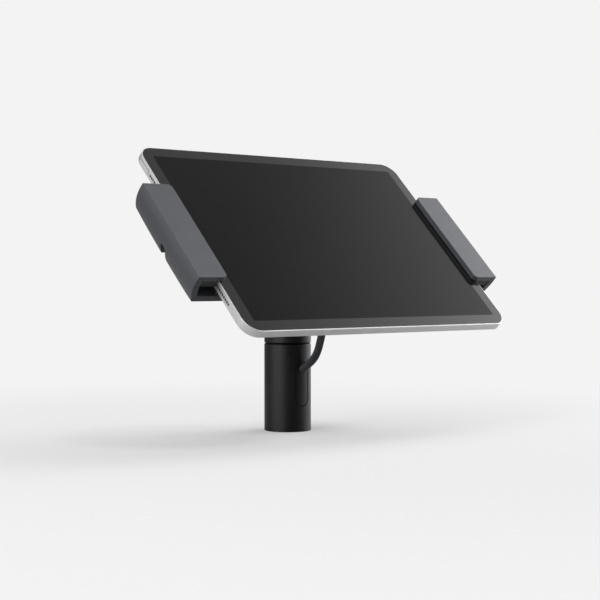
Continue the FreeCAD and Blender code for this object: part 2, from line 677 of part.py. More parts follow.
def make_swivel_head():
    body = new_body("swivel_head")
    top = s.axis_height + post_radius
    journal = s.spigot_diameter / 2
    profile = sketch_on(body, "profile", "XZ_Plane")
    outline(profile, [(0, ring_floor + s.running_play), (journal, ring_floor + s.running_play),
                      (journal, head_floor), (post_radius - s.post_chamfer, head_floor),
                      (post_radius, head_floor + s.post_chamfer), (post_radius, top), (0, top)])
    revolution(body, profile)
    bolt = sketch_on(body, "bolt_thread", "XY_Plane", ring_floor)
    circle(bolt, 0, 0, s.bolt_diameter / 2 + s.running_play)
    pocket(body, bolt, s.thread_depth + 2 * s.insert_play, forwards=True)
    groove = sketch_on(body, "stop_groove", "XY_Plane", head_floor)
    groove_half = s.stop_diameter / 2 + s.stop_play
    outer, inner = s.stop_circle + groove_half, s.stop_circle - groove_half
    across, along = sine(s.swivel_limit), cosine(s.swivel_limit)
    tip_x = s.stop_circle * across + groove_half * along
    tip_y = s.stop_circle * along - groove_half * across
    outline(groove, [(outer * across, outer * along), (0, outer), (-outer * across, outer * along),
                     (-tip_x, tip_y), (-inner * across, inner * along), (0, inner),
                     (inner * across, inner * along), (tip_x, tip_y)],
            {0: outer, 1: outer, 2: groove_half, 3: groove_half,
             4: -inner, 5: -inner, 6: groove_half, 7: groove_half})
    pocket(body, groove, s.stop_reach + s.stop_play, forwards=True)
    gap = sketch_on(body, "ear_gap", "XZ_Plane")
    half = s.ear_gap / 2
    rectangle(gap, -half, s.axis_height - s.ear_floor, half, top + s.overcut)
    pocket(body, gap, s.post_diameter + 2 * s.overcut, midplane=True)
    dome = sketch_on(body, "dome", "YZ_Plane")
    wide = post_radius + s.overcut
    outline(dome, [(-wide, s.axis_height), (-post_radius, s.axis_height), (0, top),
                   (post_radius, s.axis_height), (wide, s.axis_height), (wide, top + s.overcut),
                   (-wide, top + s.overcut)],
            {1: -post_radius, 2: -post_radius})
    pocket(body, dome, s.post_diameter + 2 * s.overcut, midplane=True)
    bore = sketch_on(body, "tilt_bore", "YZ_Plane")
    circle(bore, 0, s.axis_height, s.bolt_diameter / 2 + s.running_play)
    pocket(body, bore, s.post_diameter + 2 * s.overcut, midplane=True)
    seat = post_radius - s.ear_bore_depth
    for name, offset, outwards in (("right_recess", seat, True), ("left_recess", -seat, False)):
        recess = sketch_on(body, name, "YZ_Plane", offset)
        circle(recess, 0, s.axis_height, s.cap_diameter / 2 + s.insert_play)
        pocket(body, recess, s.ear_bore_depth + s.overcut, forwards=outwards)


def make_swivel_bolt():
    body = new_body("swivel_bolt")
    head = sketch_on(body, "head", "XY_Plane", bolt_head_top)
    circle(head, 0, 0, s.bolt_head_diameter / 2)
    pad(body, head, s.bolt_head_height, backwards=True)
    shank = sketch_on(body, "shank", "XY_Plane", bolt_head_top)
    circle(shank, 0, 0, s.bolt_diameter / 2)
    pad(body, shank, ring_floor + s.thread_depth - bolt_head_top)


def make_swivel_washer():
    body = new_body("swivel_washer")
    face = sketch_on(body, "face", "XY_Plane", stack_top)
    circle(face, 0, 0, s.washer_diameter / 2)
    circle(face, 0, 0, s.bolt_diameter / 2 + s.insert_play)
    pad(body, face, s.washer_thickness)


def make_swivel_springs():
    """Two disc springs, rim to rim, between the bolt's head and the friction washer."""
    body = new_body("swivel_springs")
    inner, outer = s.bolt_diameter / 2 + s.insert_play, s.spring_diameter / 2
    rim = bolt_head_top + s.spring_thickness + s.spring_cone
    lower = sketch_on(body, "lower", "XZ_Plane")
    outline(lower, [(inner, bolt_head_top), (outer, bolt_head_top + s.spring_cone),
                    (outer, rim), (inner, rim - s.spring_cone)])
    revolution(body, lower)
    upper = sketch_on(body, "upper", "XZ_Plane")
    outline(upper, [(inner, rim + s.spring_cone), (outer, rim), (outer, rim + s.spring_thickness),
                    (inner, stack_top)])
    revolution(body, upper)


def along_tilt_axis(label, discs):
    """Discs on the tilt axis, each given as start, end, radius and bore radius."""
    body = new_body(label)
    for number, (start, end, radius, bore) in enumerate(discs, 1):
        face = sketch_on(body, "disc%d" % number, "YZ_Plane", start)
        circle(face, 0, s.axis_height, radius)
        if bore is not None:
            circle(face, 0, s.axis_height, bore)
        pad(body, face, end - start)
    return body


def make_tilt_joint():
    seat = post_radius - s.ear_bore_depth
    end = seat + s.bolt_head_height
    thread = s.tilt_thread / 2
    along_tilt_axis("tilt_bolt", [(-end, -seat, thread, None), (-seat, seat, s.bolt_diameter / 2, None),
                                  (seat, end, s.bolt_head_diameter / 2, None)])
    nut = new_body("tilt_nut")
    face = sketch_on(nut, "hexagon", "YZ_Plane", -end)
    half_flat, corner = s.nut_flats / 2, s.nut_flats / 2 / cosine(Size(30))
    level = s.axis_height
    outline(face, [(half_flat, level - corner / 2), (half_flat, level + corner / 2), (0, level + corner),
                   (-half_flat, level + corner / 2), (-half_flat, level - corner / 2), (0, level - corner)])
    circle(face, 0, s.axis_height, thread + s.running_play)
    pad(nut, face, s.bolt_head_height)
    cap_start = end + s.insert_play
    cap_end = cap_start + s.cap_thickness
    cap = s.cap_diameter / 2
    along_tilt_axis("tilt_caps", [(cap_start, cap_end, cap, None), (-cap_end, -cap_start, cap, None)])
    washer = s.tilt_washer_diameter / 2
    hole = s.bolt_diameter / 2 + s.insert_play
    ear = s.ear_gap / 2
    along_tilt_axis("tilt_washers", [(knuckle_half, ear, washer, hole), (-ear, -knuckle_half, washer, hole)])


# Head: tilting hub

def make_knuckle():
    body = new_body("knuckle")
    width = 2 * knuckle_half
    barrel = sketch_on(body, "barrel", "YZ_Plane")
    circle(barrel, 0, 0, s.knuckle_diameter / 2)
    pad(body, barrel, width, midplane=True)
    flange_back = back_of_hub - s.flange_thickness
    waist, foot = s.stem_height / 2, s.flange_height / 2 - s.flange_thickness
    stem = sketch_on(body, "stem", "YZ_Plane")
    flare_start = flange_back - s.stem_height / 2
    outline(stem, [(-waist, 0), (waist, 0), (waist, flare_start), (foot, flange_back),
                   (-foot, flange_back), (-waist, flare_start)],
            {2: -s.stem_flare, 4: -s.stem_flare})
    pad(body, stem, width, midplane=True)
    flange = sketch_on(body, "flange", "XY_Plane", flange_back)
    half_width, half_height = s.flange_width / 2, s.flange_height / 2
    rounded_rectangle(flange, -half_width, -half_height, half_width, half_height, s.flange_corner)
    plate = pad(body, flange, s.flange_thickness)
    root_fillet = flange_screw_x - s.flange_head_diameter / 2 - s.flange_head_room - knuckle_half
    fillet(body, plate, lambda p: near(p.z, flange_back) and near(abs(p.x), knuckle_half), root_fillet)
    bore = sketch_on(body, "bush_bore", "YZ_Plane")
    circle(bore, 0, 0, s.bolt_diameter / 2 + s.running_play + s.tilt_bush_wall + s.insert_play)
    pocket(body, bore, width + s.overcut, midplane=True)
    holes = sketch_on(body, "screw_holes", "XY_Plane", flange_back)
    for x, y in corners_at(flange_screw_x, flange_screw_y):
        circle(holes, x, y, s.flange_screw_diameter / 2 + s.insert_play)
    pocket(body, holes, s.flange_thickness, forwards=True)
    on_the_head(body)


def corners_at(x, y):
    return [(x, y), (-x, y), (-x, -y), (x, -y)]


def make_tilt_bush():
    body = new_body("tilt_bush")
    bore = s.bolt_diameter / 2 + s.running_play
    ring = sketch_on(body, "ring", "YZ_Plane")
    circle(ring, 0, 0, bore + s.tilt_bush_wall)
    circle(ring, 0, 0, bore)
    pad(body, ring, 2 * knuckle_half, midplane=True)
    on_the_head(body)


def make_flange_screws():
    body = new_body("flange_screws")
    flange_back = back_of_hub - s.flange_thickness
    heads = sketch_on(body, "heads", "XY_Plane", flange_back)
    sockets = sketch_on(body, "sockets", "XY_Plane", flange_back - s.flange_head_height)
    shanks = sketch_on(body, "shanks", "XY_Plane", flange_back)
    for x, y in corners_at(flange_screw_x, flange_screw_y):
        circle(heads, x, y, s.flange_head_diameter / 2)
        circle(sockets, x, y, s.flange_socket / 2)
        circle(shanks, x, y, s.flange_screw_diameter / 2)
    pad(body, heads, s.flange_head_height, backwards=True)
    pad(body, shanks, s.flange_thickness + s.flange_screw_depth)
    pocket(body, sockets, s.flange_socket_depth, forwards=True)
    on_the_head(body)


def make_hub_housing():
    """Back shell of the hub, with sloping long edges and a channel for the two toothed arms."""
    body = new_body("hub_housing")
    half_width, half_height = s.hub_width / 2, s.hub_height / 2
    flat = half_height - s.hub_slope
    section = sketch_on(body, "section", "YZ_Plane")
    outline(section, [(-flat, back_of_hub), (flat, back_of_hub),
                      (half_height, back_of_hub + s.hub_slope),
                      (half_height, plate_back), (-half_height, plate_back),
                      (-half_height, back_of_hub + s.hub_slope)])
    pad(body, section, s.hub_width, midplane=True)
    trim = sketch_on(body, "corners", "XY_Plane", back_of_hub)
    rectangle(trim, -s.hub_width, -s.hub_height, s.hub_width, s.hub_height)
    rounded_rectangle(trim, -half_width, -half_height, half_width, half_height, s.hub_corner)
    pocket(body, trim, back_of_hub, forwards=True)
    channel = sketch_on(body, "channel", "YZ_Plane")
    channel_half = s.rack_outer + s.arm_play
    rectangle(channel, -channel_half, hub_channel_floor, channel_half, plate_back + s.overcut)
    pocket(body, channel, s.hub_width + 2 * s.overcut, midplane=True)
    post_hole = sketch_on(body, "pinion_pin_hole", "XY_Plane", hub_channel_floor)
    circle(post_hole, 0, 0, s.pinion_bore / 2 + s.running_play)
    pocket(body, post_hole, s.gland_seat)
    screw_holes = sketch_on(body, "plate_screw_holes", "XY_Plane", plate_back)
    for x, y in corners_at(hub_screw_x, hub_screw_y):
        circle(screw_holes, x, y, s.small_screw_diameter / 2 + s.running_play)
    pocket(body, screw_holes, s.small_screw_depth)
    flange_holes = sketch_on(body, "flange_screw_holes", "XY_Plane", back_of_hub)
    for x, y in corners_at(flange_screw_x, flange_screw_y):
        circle(flange_holes, x, y, s.flange_screw_diameter / 2 + s.running_play)
    pocket(body, flange_holes, s.flange_screw_depth + s.running_play, forwards=True)
    lock_hole = sketch_on(body, "lock_hole", "XZ_Plane", half_height)
    circle(lock_hole, s.lock_x, jaw_floor + s.arm_thickness / 2, s.lock_diameter / 2 + s.running_play)
    pocket(body, lock_hole, half_height - s.rack_outer)
    gland_hole = sketch_on_slope(body, "gland_hole")
    circle(gland_hole, 0, 0, s.gland_diameter / 2 + s.running_play)
    pocket(body, gland_hole, s.gland_seat + s.running_play, forwards=True)
    on_the_head(body)


def sketch_on_slope(body, name, lift=Size(0)):
    """A sketch on the middle of the hub's lower sloping face; its normal points into the hub."""
    sketch = sketch_on(body, name, "XY_Plane")
    sketch.AttachmentOffset = Placement(Vector(0, 0, 0), Rotation(Vector(1, 0, 0), -45))
    slope_y = s.hub_slope / 2 - s.hub_height / 2
    slope_z = back_of_hub + s.hub_slope / 2
    step = lift / root(Size(2))
    bind(sketch, "AttachmentOffset.Base.y", slope_y + step)
    bind(sketch, "AttachmentOffset.Base.z", slope_z + step)
    return sketch


def make_hub_front():
    half_width, half_height = s.hub_width / 2, s.hub_height / 2
    plate = new_body("hub_plate")
    face = sketch_on(plate, "face", "XY_Plane", plate_back)
    rounded_rectangle(face, -half_width, -half_height, half_width, half_height, s.hub_corner)
    pad(plate, face, s.plate_thickness)
    holes = sketch_on(plate, "screw_holes", "XY_Plane", plate_back)
    sinks = sketch_on(plate, "head_recesses", "XY_Plane", pad_back)
    for x, y in corners_at(hub_screw_x, hub_screw_y):
        circle(holes, x, y, s.small_screw_diameter / 2 + s.insert_play)
        circle(sinks, x, y, s.small_head_diameter / 2 + s.insert_play)
    pocket(plate, holes, s.plate_thickness, forwards=True)
    pocket(plate, sinks, s.small_head_height)
    rubber = new_body("hub_pad")
    shape = sketch_on(rubber, "face", "XY_Plane", pad_back)
    x, y = hub_pad_width / 2, hub_pad_height / 2
    rounded_rectangle(shape, -x, -y, x, y, s.hub_pad_corner)
    pad(rubber, shape, s.hub_pad_thickness)
    screws = new_body("hub_screws")
    head_floor_z = pad_back - s.small_head_height
    heads = sketch_on(screws, "heads", "XY_Plane", head_floor_z)
    shanks = sketch_on(screws, "shanks", "XY_Plane", head_floor_z)
    for x, y in corners_at(hub_screw_x, hub_screw_y):
        circle(heads, x, y, s.small_head_diameter / 2)
        circle(shanks, x, y, s.small_screw_diameter / 2)
    pad(screws, heads, s.small_head_height)
    pad(screws, shanks, head_floor_z - plate_back + s.small_screw_depth, backwards=True)
    sockets = sketch_on(screws, "sockets", "XY_Plane", pad_back)
    for x, y in corners_at(hub_screw_x, hub_screw_y):
        circle(sockets, x, y, s.small_socket / 2)
    pocket(screws, sockets, s.small_socket_depth)
    for item in (plate, rubber, screws):
        on_the_head(item)


def make_cable_gland():
    body = new_body("cable_gland")
    collar = sketch_on_slope(body, "collar", -s.gland_length)
    circle(collar, 0, 0, s.gland_diameter / 2)
    pad(body, collar, s.gland_length + s.gland_seat)
    flange = sketch_on_slope(body, "flange", -s.gland_flange_thickness)
    circle(flange, 0, 0, s.gland_flange_diameter / 2)
    pad(body, flange, s.gland_flange_thickness)
    bore = sketch_on_slope(body, "bore", -s.gland_length)
    circle(bore, 0, 0, cable_radius + s.insert_play)
    pocket(body, bore, s.gland_length, forwards=True)
    on_the_head(body)


def make_pinion_pin():
    body = new_body("pinion_pin")
    face = sketch_on(body, "face", "XY_Plane", hub_channel_floor - s.gland_seat)
    circle(face, 0, 0, s.pinion_bore / 2)
    pad(body, face, plate_back - hub_channel_floor + s.gland_seat)
    on_the_head(body)


def make_lock_screw():
    body = new_body("lock_screw")
    half_height = s.hub_height / 2
    level = jaw_floor + s.arm_thickness / 2
    face = sketch_on(body, "face", "XZ_Plane", half_height)
    circle(face, s.lock_x, level, s.lock_diameter / 2)
    pad(body, face, half_height - s.rack_outer - s.lock_play, backwards=True)
    socket = sketch_on(body, "socket", "XZ_Plane", half_height)
    circle(socket, s.lock_x, level, s.lock_socket / 2)
    pocket(body, socket, s.lock_socket_depth)
    on_the_head(body)


# Rack and pinion

def make_pinion():
    """Fourteen involute teeth; each flank is one arc through three points of its involute."""
    item = doc.addObject("Part::Feature", "pinion")
    item.Label = "pinion"
    teeth = int(s.pinion_teeth.number)
    pressure = math.radians(s.pressure_angle.number)
    pitch = pitch_radius.number
    base = pitch * math.cos(pressure)
    tip = pitch + s.pinion_addendum.number
    bottom = pitch - s.rack_addendum.number - s.tooth_clearance.number
    half_tooth = (tooth_pitch.number - s.backlash.number) / 4 / pitch
    at_pitch = math.tan(pressure) - pressure
    floor = jaw_floor.number

    def half_angle(radius):
        angle = math.acos(min(base / radius, 1))
        return half_tooth + at_pitch - (math.tan(angle) - angle)

    def at(radius, turn):
        return Vector(radius * math.cos(turn), radius * math.sin(turn), floor)

    start = max(base, bottom)
    between = (start + tip) / 2
    step = 2 * math.pi / teeth
    foot = half_angle(start)
    edges = []
    for number in range(teeth):
        centre = math.pi / 2 + (number + 0.5) * step
        rising = [at(r, centre - half_angle(r)) for r in (start, between, tip)]
        falling = [at(r, centre + half_angle(r)) for r in (tip, between, start)]
        edges.append(Part.LineSegment(at(bottom, centre - foot), rising[0]).toShape())
        edges.append(Part.Arc(*rising).toShape())
        edges.append(Part.Arc(rising[2], at(tip, centre), falling[0]).toShape())
        edges.append(Part.Arc(*falling).toShape())
        edges.append(Part.LineSegment(falling[2], at(bottom, centre + foot)).toShape())
        valley = [at(bottom, centre + turn) for turn in (foot, step / 2, step - foot)]
        edges.append(Part.Arc(*valley).toShape())
    blank = Part.Face(Part.Wire(edges)).extrude(Vector(0, 0, s.arm_thickness.number))
    bore = s.pinion_bore.number / 2 + s.running_play.number
    hole = Part.makeCylinder(bore, s.arm_thickness.number, Vector(0, 0, floor))
    item.Shape = blank.cut(hole)
    keep(item)
    on_the_head(item)


def make_arm(side, word):
    """A flat bar with a rack cut in it. The left arm is the right one turned half round."""
    body = new_body(word + "_arm")
    tip_line = pitch_radius - s.rack_addendum
    tip_half = s.arm_tip_height / 2
    neck = s.arm_shoulder + s.rack_outer
    bar = sketch_on(body, "bar", "XY_Plane", jaw_floor)
    corners = [(-s.rack_inner_end, -s.rack_outer), (neck, -s.rack_outer),
               (arm_slot_end, -tip_half), (arm_tip, -tip_half), (arm_tip, tip_half),
               (arm_slot_end, tip_half), (neck, s.rack_outer), (s.arm_shoulder, s.rack_outer),
               (s.arm_shoulder, -tip_line), (-s.rack_inner_end, -tip_line)]
    outline(bar, [(x * side, y * side) for x, y in corners])
    pad(body, bar, s.arm_thickness)
    slot = sketch_on(body, "slot", "XY_Plane", jaw_floor)
    slot_middle = (s.arm_slot_start + arm_slot_end) / 2
    obround(slot, slot_middle * side, 0, arm_slot_end - s.arm_slot_start, s.arm_slot_width)
    pocket(body, slot, s.arm_thickness, forwards=True)
    screw_holes = sketch_on(body, "screw_holes", "XY_Plane", jaw_floor)
    for y in (s.arm_screw_y, -s.arm_screw_y):
        circle(screw_holes, arm_screw_x * side, y, s.small_screw_diameter / 2 + s.running_play)
    pocket(body, screw_holes, s.arm_thickness, forwards=True)
    slope = tangent(s.pressure_angle)
    middle = tooth_pitch * s.rack_first_gap
    half_gap = (tooth_pitch + s.backlash) / 4
    mouth = half_gap + s.rack_addendum * slope
    depth = s.pinion_addendum + s.tooth_clearance
    floor = half_gap - depth * slope
    gap = sketch_on(body, "rack_gap", "XY_Plane", jaw_floor)
    sides = [(middle - floor, -pitch_radius - depth), (middle + floor, -pitch_radius - depth),
             (middle + mouth, -tip_line), (middle + mouth, s.overcut - tip_line),
             (middle - mouth, s.overcut - tip_line), (middle - mouth, -tip_line)]
    outline(gap, [(x * side, y * side) for x, y in sides])
    cut = pocket(body, gap, s.arm_thickness, forwards=True)
    in_a_row(body, cut, gap, "H_Axis", tooth_pitch, s.rack_gaps, backwards=side > 0)
    on_the_head(body)


# Jaws

def wall_x(depth, inset):
    """Distance from the middle to a surface inset inside the curved side, depth below the front."""
    reach = s.jaw_bend - inset
    level = depth - s.jaw_widest
    centre = jaw_outer - root(s.jaw_bend * s.jaw_bend - s.jaw_widest * s.jaw_widest)
    return centre + root(reach * reach - level * level)


def make_jaw(side, word):
    """A C channel open at both ends, with a curved side wall, a bowed skirt and a cable notch."""
    body = new_body(word + "_jaw")
    section = sketch_on(body, "section", "XZ_Plane")
    corners = [(jaw_inner, jaw_top), (jaw_outer, jaw_top), (wall_x(jaw_top - skirt_back, 0), skirt_back),
               (skirt_inner, skirt_back), (skirt_inner, jaw_back), (jaw_back_inner, jaw_back),
               (jaw_back_inner, jaw_floor), (wall_x(jaw_top - jaw_floor, s.jaw_wall), jaw_floor),
               (wall_x(jaw_top - jaw_ceiling, s.jaw_wall), jaw_ceiling), (jaw_inner, jaw_ceiling)]
    outline(section, [(x * side, z) for x, z in corners],
            {1: -s.jaw_bend * side, 7: (s.jaw_bend - s.jaw_wall) * side})
    channel = pad(body, section, s.jaw_length, midplane=True)
    half = s.jaw_length / 2
    fillet(body, channel, lambda p: near(abs(p.x), jaw_inner) and near(abs(p.y), half), s.jaw_corner)
    bow = sketch_on(body, "bowed_skirt", "YZ_Plane")
    far = half + s.overcut
    outline(bow, [(-half, jaw_back), (half, jaw_back), (far, jaw_back), (far, skirt_back - s.overcut),
                  (-far, skirt_back - s.overcut), (-far, jaw_back)],
            {0: (half * half + s.skirt_sag * s.skirt_sag) / (2 * s.skirt_sag)})
    pocket(body, bow, 2 * (jaw_outer + s.overcut), midplane=True)
    notch = sketch_on(body, "cable_notch", "YZ_Plane", notch_reach * side)
    wide, high = s.notch_length / 2, jaw_top - s.notch_front
    lip, corner = s.notch_mouth, s.notch_corner
    outline(notch, [(-wide - lip, skirt_back), (-wide - lip, skirt_back - s.overcut),
                    (wide + lip, skirt_back - s.overcut), (wide + lip, skirt_back),
                    (wide, skirt_back + lip), (wide, high - corner), (wide - corner, high),
                    (corner - wide, high), (-wide, high - corner), (-wide, skirt_back + lip)],
            {3: -lip, 5: corner, 7: corner, 9: -lip})
    pocket(body, notch, jaw_outer + s.overcut - notch_reach, forwards=side > 0)
    holes = sketch_on(body, "screw_holes", "XY_Plane", jaw_back)
    sinks = sketch_on(body, "head_recesses", "XY_Plane", jaw_back)
    for y in (s.arm_screw_y, -s.arm_screw_y):
        circle(holes, arm_screw_x * side, y, s.small_screw_diameter / 2 + s.insert_play)
        circle(sinks, arm_screw_x * side, y, s.small_head_diameter / 2 + s.insert_play)
    pocket(body, holes, s.jaw_back_wall, forwards=True)
    pocket(body, sinks, s.small_head_height, forwards=True)
    on_the_head(body)


def make_jaw_rubber(side, word):
    half = s.jaw_length / 2 - s.block_end_inset
    front = new_body(word + "_front_pad")
    face = sketch_on(front, "face", "XY_Plane", s.reach)
    inner = jaw_inner + s.front_pad_inset
    wall = s.jaw_wall + s.insert_play
    rectangle(face, inner * side, -half, (wall_x(s.jaw_front, wall) - s.insert_play) * side, half)
    strip = pad(front, face, s.front_pad_thickness)
    fillet(front, strip, lambda p: near(abs(p.x), inner) and near(abs(p.y), half), s.front_pad_corner)
    edge = new_body(word + "_edge_blocks")
    bottom = s.reach - s.edge_block_depth
    start = s.edge_block_gap / 2
    corners = [(tablet_half + s.edge_block_play, bottom), (wall_x(jaw_top - bottom, wall), bottom),
               (wall_x(s.jaw_front, wall), s.reach), (tablet_half + s.edge_block_play, s.reach)]
    for name, offset, backwards in (("lower", start, False), ("upper", -start, True)):
        section = sketch_on(edge, name, "XZ_Plane", offset)
        outline(section, [(x * side, z) for x, z in corners], {1: (s.jaw_bend - wall) * side})
        pad(edge, section, half - start, backwards=backwards)
    back = new_body(word + "_back_blocks")
    start = s.back_block_gap / 2
    face = sketch_on(back, "faces", "XY_Plane", jaw_floor)
    rectangle(face, back_block_inner * side, -half, back_block_outer * side, -start)
    rectangle(face, back_block_inner * side, start, back_block_outer * side, half)
    pad(back, face, tablet_back - jaw_floor)
    for item in (front, edge, back):
        on_the_head(item)


def make_arm_screws(side, word):
    body = new_body(word + "_arm_screws")
    heads = sketch_on(body, "heads", "XY_Plane", jaw_back)
    shanks = sketch_on(body, "shanks", "XY_Plane", jaw_back)
    for y in (s.arm_screw_y, -s.arm_screw_y):
        circle(heads, arm_screw_x * side, y, s.small_head_diameter / 2)
        circle(shanks, arm_screw_x * side, y, s.small_screw_diameter / 2)
    pad(body, heads, s.small_head_height)
    pad(body, shanks, s.jaw_back_wall + s.arm_thickness)
    sockets = sketch_on(body, "sockets", "XY_Plane", jaw_back)
    for y in (s.arm_screw_y, -s.arm_screw_y):
        circle(sockets, arm_screw_x * side, y, s.small_socket / 2)
    pocket(body, sockets, s.small_socket_depth, forwards=True)
    on_the_head(body)


# Tablet

def tablet_outline(sketch, inset):
    x, y = tablet_half - inset, tablet_half_height - inset
    rounded_rectangle(sketch, -x, -y, x, y, s.tablet_corner - inset)


def make_tablet_housing():
    body = new_body("tablet_housing")
    rim = s.reach - s.rim_drop
    ledge = s.reach - s.glass_thickness
    edge_level = s.reach - s.edge_middle
    slab = sketch_on(body, "slab", "XY_Plane", tablet_back)
    tablet_outline(slab, Size(0))
    block = pad(body, slab, rim - tablet_back)

    def on_the_side(p, level):
        straight = near(abs(p.x), tablet_half) or near(abs(p.y), tablet_half_height)
        corner = math.hypot(p.x, p.y) > tablet_half.number
        return near(p.z, level) and (straight or corner)

    block = fillet(body, block, lambda p: on_the_side(p, tablet_back), s.back_round)
    chamfer(body, block, lambda p: on_the_side(p, rim), s.rim_chamfer)
    glass_seat = sketch_on(body, "glass_seat", "XY_Plane", rim)
    tablet_outline(glass_seat, s.rim_width)
    pocket(body, glass_seat, rim - ledge)
    tray = sketch_on(body, "tray", "XY_Plane", ledge)
    tablet_outline(tray, s.tablet_ledge)
    pocket(body, tray, ledge - tablet_back - s.tablet_skin)
    for name, offset, inwards in (("left", -tablet_half, True), ("right", tablet_half, False)):
        for row, start, backwards in (("low", -s.speaker_last, False), ("high", s.speaker_last, True)):
            hole = sketch_on(body, name + "_speaker_" + row, "YZ_Plane", offset)
            circle(hole, start, edge_level, s.speaker_hole / 2)
            cut = pocket(body, hole, s.speaker_depth, forwards=inwards)
            in_a_row(body, cut, hole, "H_Axis", s.speaker_pitch, s.speaker_count, backwards)
    deep = s.button_seat + s.button_travel + s.button_play
    room = 2 * s.button_play
    power = sketch_on(body, "power_recess", "YZ_Plane", -tablet_half)
    obround(power, power_y, edge_level, s.power_length + room, s.button_height + room)
    pocket(body, power, deep, forwards=True)
    port = sketch_on(body, "port", "YZ_Plane", tablet_half)
    obround(port, 0, edge_level, s.port_length, s.port_height)
    pocket(body, port, s.port_depth)
    for name, x in (("volume_up_recess", volume_up_x), ("volume_down_recess", volume_down_x)):
        recess = sketch_on(body, name, "XZ_Plane", -tablet_half_height)
        obround(recess, -x, edge_level, s.volume_length + room, s.button_height + room)
        pocket(body, recess, deep, forwards=True)
    on_the_head(body)


def make_side_buttons():
    level = s.reach - s.edge_middle
    length = s.button_proud + s.button_seat
    power = new_body("power_button")
    face = sketch_on(power, "face", "YZ_Plane", -tablet_half - s.button_proud)
    obround(face, power_y, level, s.power_length, s.button_height)
    pad(power, face, length)
    on_the_head(power)
    for label, x in (("volume_up_button", volume_up_x), ("volume_down_button", volume_down_x)):
        button = new_body(label)
        face = sketch_on(button, "face", "XZ_Plane", -tablet_half_height - s.button_proud)
        obround(face, -x, level, s.volume_length, s.button_height)
        pad(button, face, length)
        on_the_head(button)


def make_tablet_front():
    glass = new_body("tablet_glass")
    face = sketch_on(glass, "face", "XY_Plane", s.reach - s.glass_thickness)
    tablet_outline(face, s.rim_width + s.glass_play)
    pad(glass, face, s.glass_thickness)
    display = new_body("tablet_display")
    panel = sketch_on(display, "panel", "XY_Plane", s.reach - s.glass_thickness - s.display_thickness)
    x, y = display_width / 2, display_height / 2
    rounded_rectangle(panel, -x, -y, x, y, s.display_corner)
    pad(display, panel, s.display_thickness)
    for item in (glass, display):
        on_the_head(item)


def make_tablet_inside():
    floor = tablet_back + s.tablet_skin
    battery = new_body("tablet_battery")
    cells = sketch_on(battery, "cells", "XY_Plane", floor)
    near_edge = s.battery_gap / 2
    for side in (1, -1):
        left = near_edge if side > 0 else -near_edge - battery_width
        rectangle(cells, left, -battery_height / 2, left + battery_width, battery_height / 2)
    pad(battery, cells, s.battery_thickness)
    board = new_body("tablet_board")
    face = sketch_on(board, "face", "XY_Plane", floor)
    x, y = board_width / 2, s.board_height / 2
    rectangle(face, -x, board_y - y, x, board_y + y)
    pad(board, face, s.board_thickness)
    for item in (battery, board):
        on_the_head(item)


def make_camera():
    ring = new_body("camera_ring")
    face = sketch_on(ring, "face", "XY_Plane", tablet_back)
    circle(face, -camera_x, camera_y, s.camera_diameter / 2)
    circle(face, -camera_x, camera_y, s.lens_diameter / 2 + s.insert_play)
    pad(ring, face, s.camera_height, backwards=True)
    lens = new_body("camera_lens")
    face = sketch_on(lens, "face", "XY_Plane", tablet_back)
    circle(face, -camera_x, camera_y, s.lens_diameter / 2)
    pad(lens, face, s.camera_height - s.lens_sink, backwards=True)
    flash = new_body("flash_lens")
    face = sketch_on(flash, "face", "XY_Plane", tablet_back)
    circle(face, -flash_x, camera_y, s.flash_diameter / 2)
    pad(flash, face, s.lens_sink, backwards=True)
    for item in (ring, lens, flash):
        on_the_head(item)


# Cable

def cable_tube(label, route):
    """A round tube along straight runs and tangent arcs. The route is (forward of the post's axis, up)."""
    points = [Vector(0, -forward, up) for forward, up in route]
    edges, start, radii = [], points[0], []
    for before, corner, after in zip(points, points[1:], points[2:]):
        into, away = corner - before, after - corner
        setback = ARC_SHARE * min(into.Length, away.Length)
        half_turn = into.getAngle(away) / 2
        radius = setback / math.tan(half_turn)
        into.normalize()
        away.normalize()
        entry, leave = corner - into * setback, corner + away * setback
        inwards = (away - into).normalize()
        middle = corner + inwards * (radius / math.cos(half_turn) - radius)
        edges.append(Part.LineSegment(start, entry).toShape())
        edges.append(Part.Arc(entry, middle, leave).toShape())
        radii.append(radius)
        start = leave
    edges.append(Part.LineSegment(start, points[-1]).toShape())
    path = Part.Wire(edges)
    direction = points[1] - points[0]
    section = Part.Wire([Part.Circle(points[0], direction, cable_radius.number).toShape()])
    tube = path.makePipeShell([section], True, False)
    share = tube.Volume / (math.pi * cable_radius.number ** 2 * path.Length)
    print("%s: length %.1f, volume share %.4f, radii %s"
          % (label, path.Length, share, ", ".join("%.0f" % r for r in radii)))
    item = doc.addObject("Part::Feature", label)
    item.Label = label
    item.Shape = tube
    return keep(item)


make_post_tube()
make_base_plug()
make_slot_cover()
make_top_ring()
make_swivel_bush()
make_stop_pin()
make_swivel_head()
make_swivel_bolt()
make_swivel_washer()
make_swivel_springs()
make_tilt_joint()
make_knuckle()
make_tilt_bush()
make_flange_screws()
make_hub_housing()
make_hub_front()
make_cable_gland()
make_pinion_pin()
make_lock_screw()
make_pinion()
for jaw_side, jaw_word in ((-1, "left"), (1, "right")):
    make_jaw(jaw_side, jaw_word)
    make_jaw_rubber(jaw_side, jaw_word)
    make_arm(jaw_side, jaw_word)
    make_arm_screws(jaw_side, jaw_word)
make_tablet_housing()
make_side_buttons()
make_tablet_front()
make_tablet_inside()
make_camera()
cable_tube("cable_in_post", IN_POST)
cable_tube("cable_lower", LOWER_ROUTE)
cable_tube("cable_upper", UPPER_ROUTE)
doc.recompute()

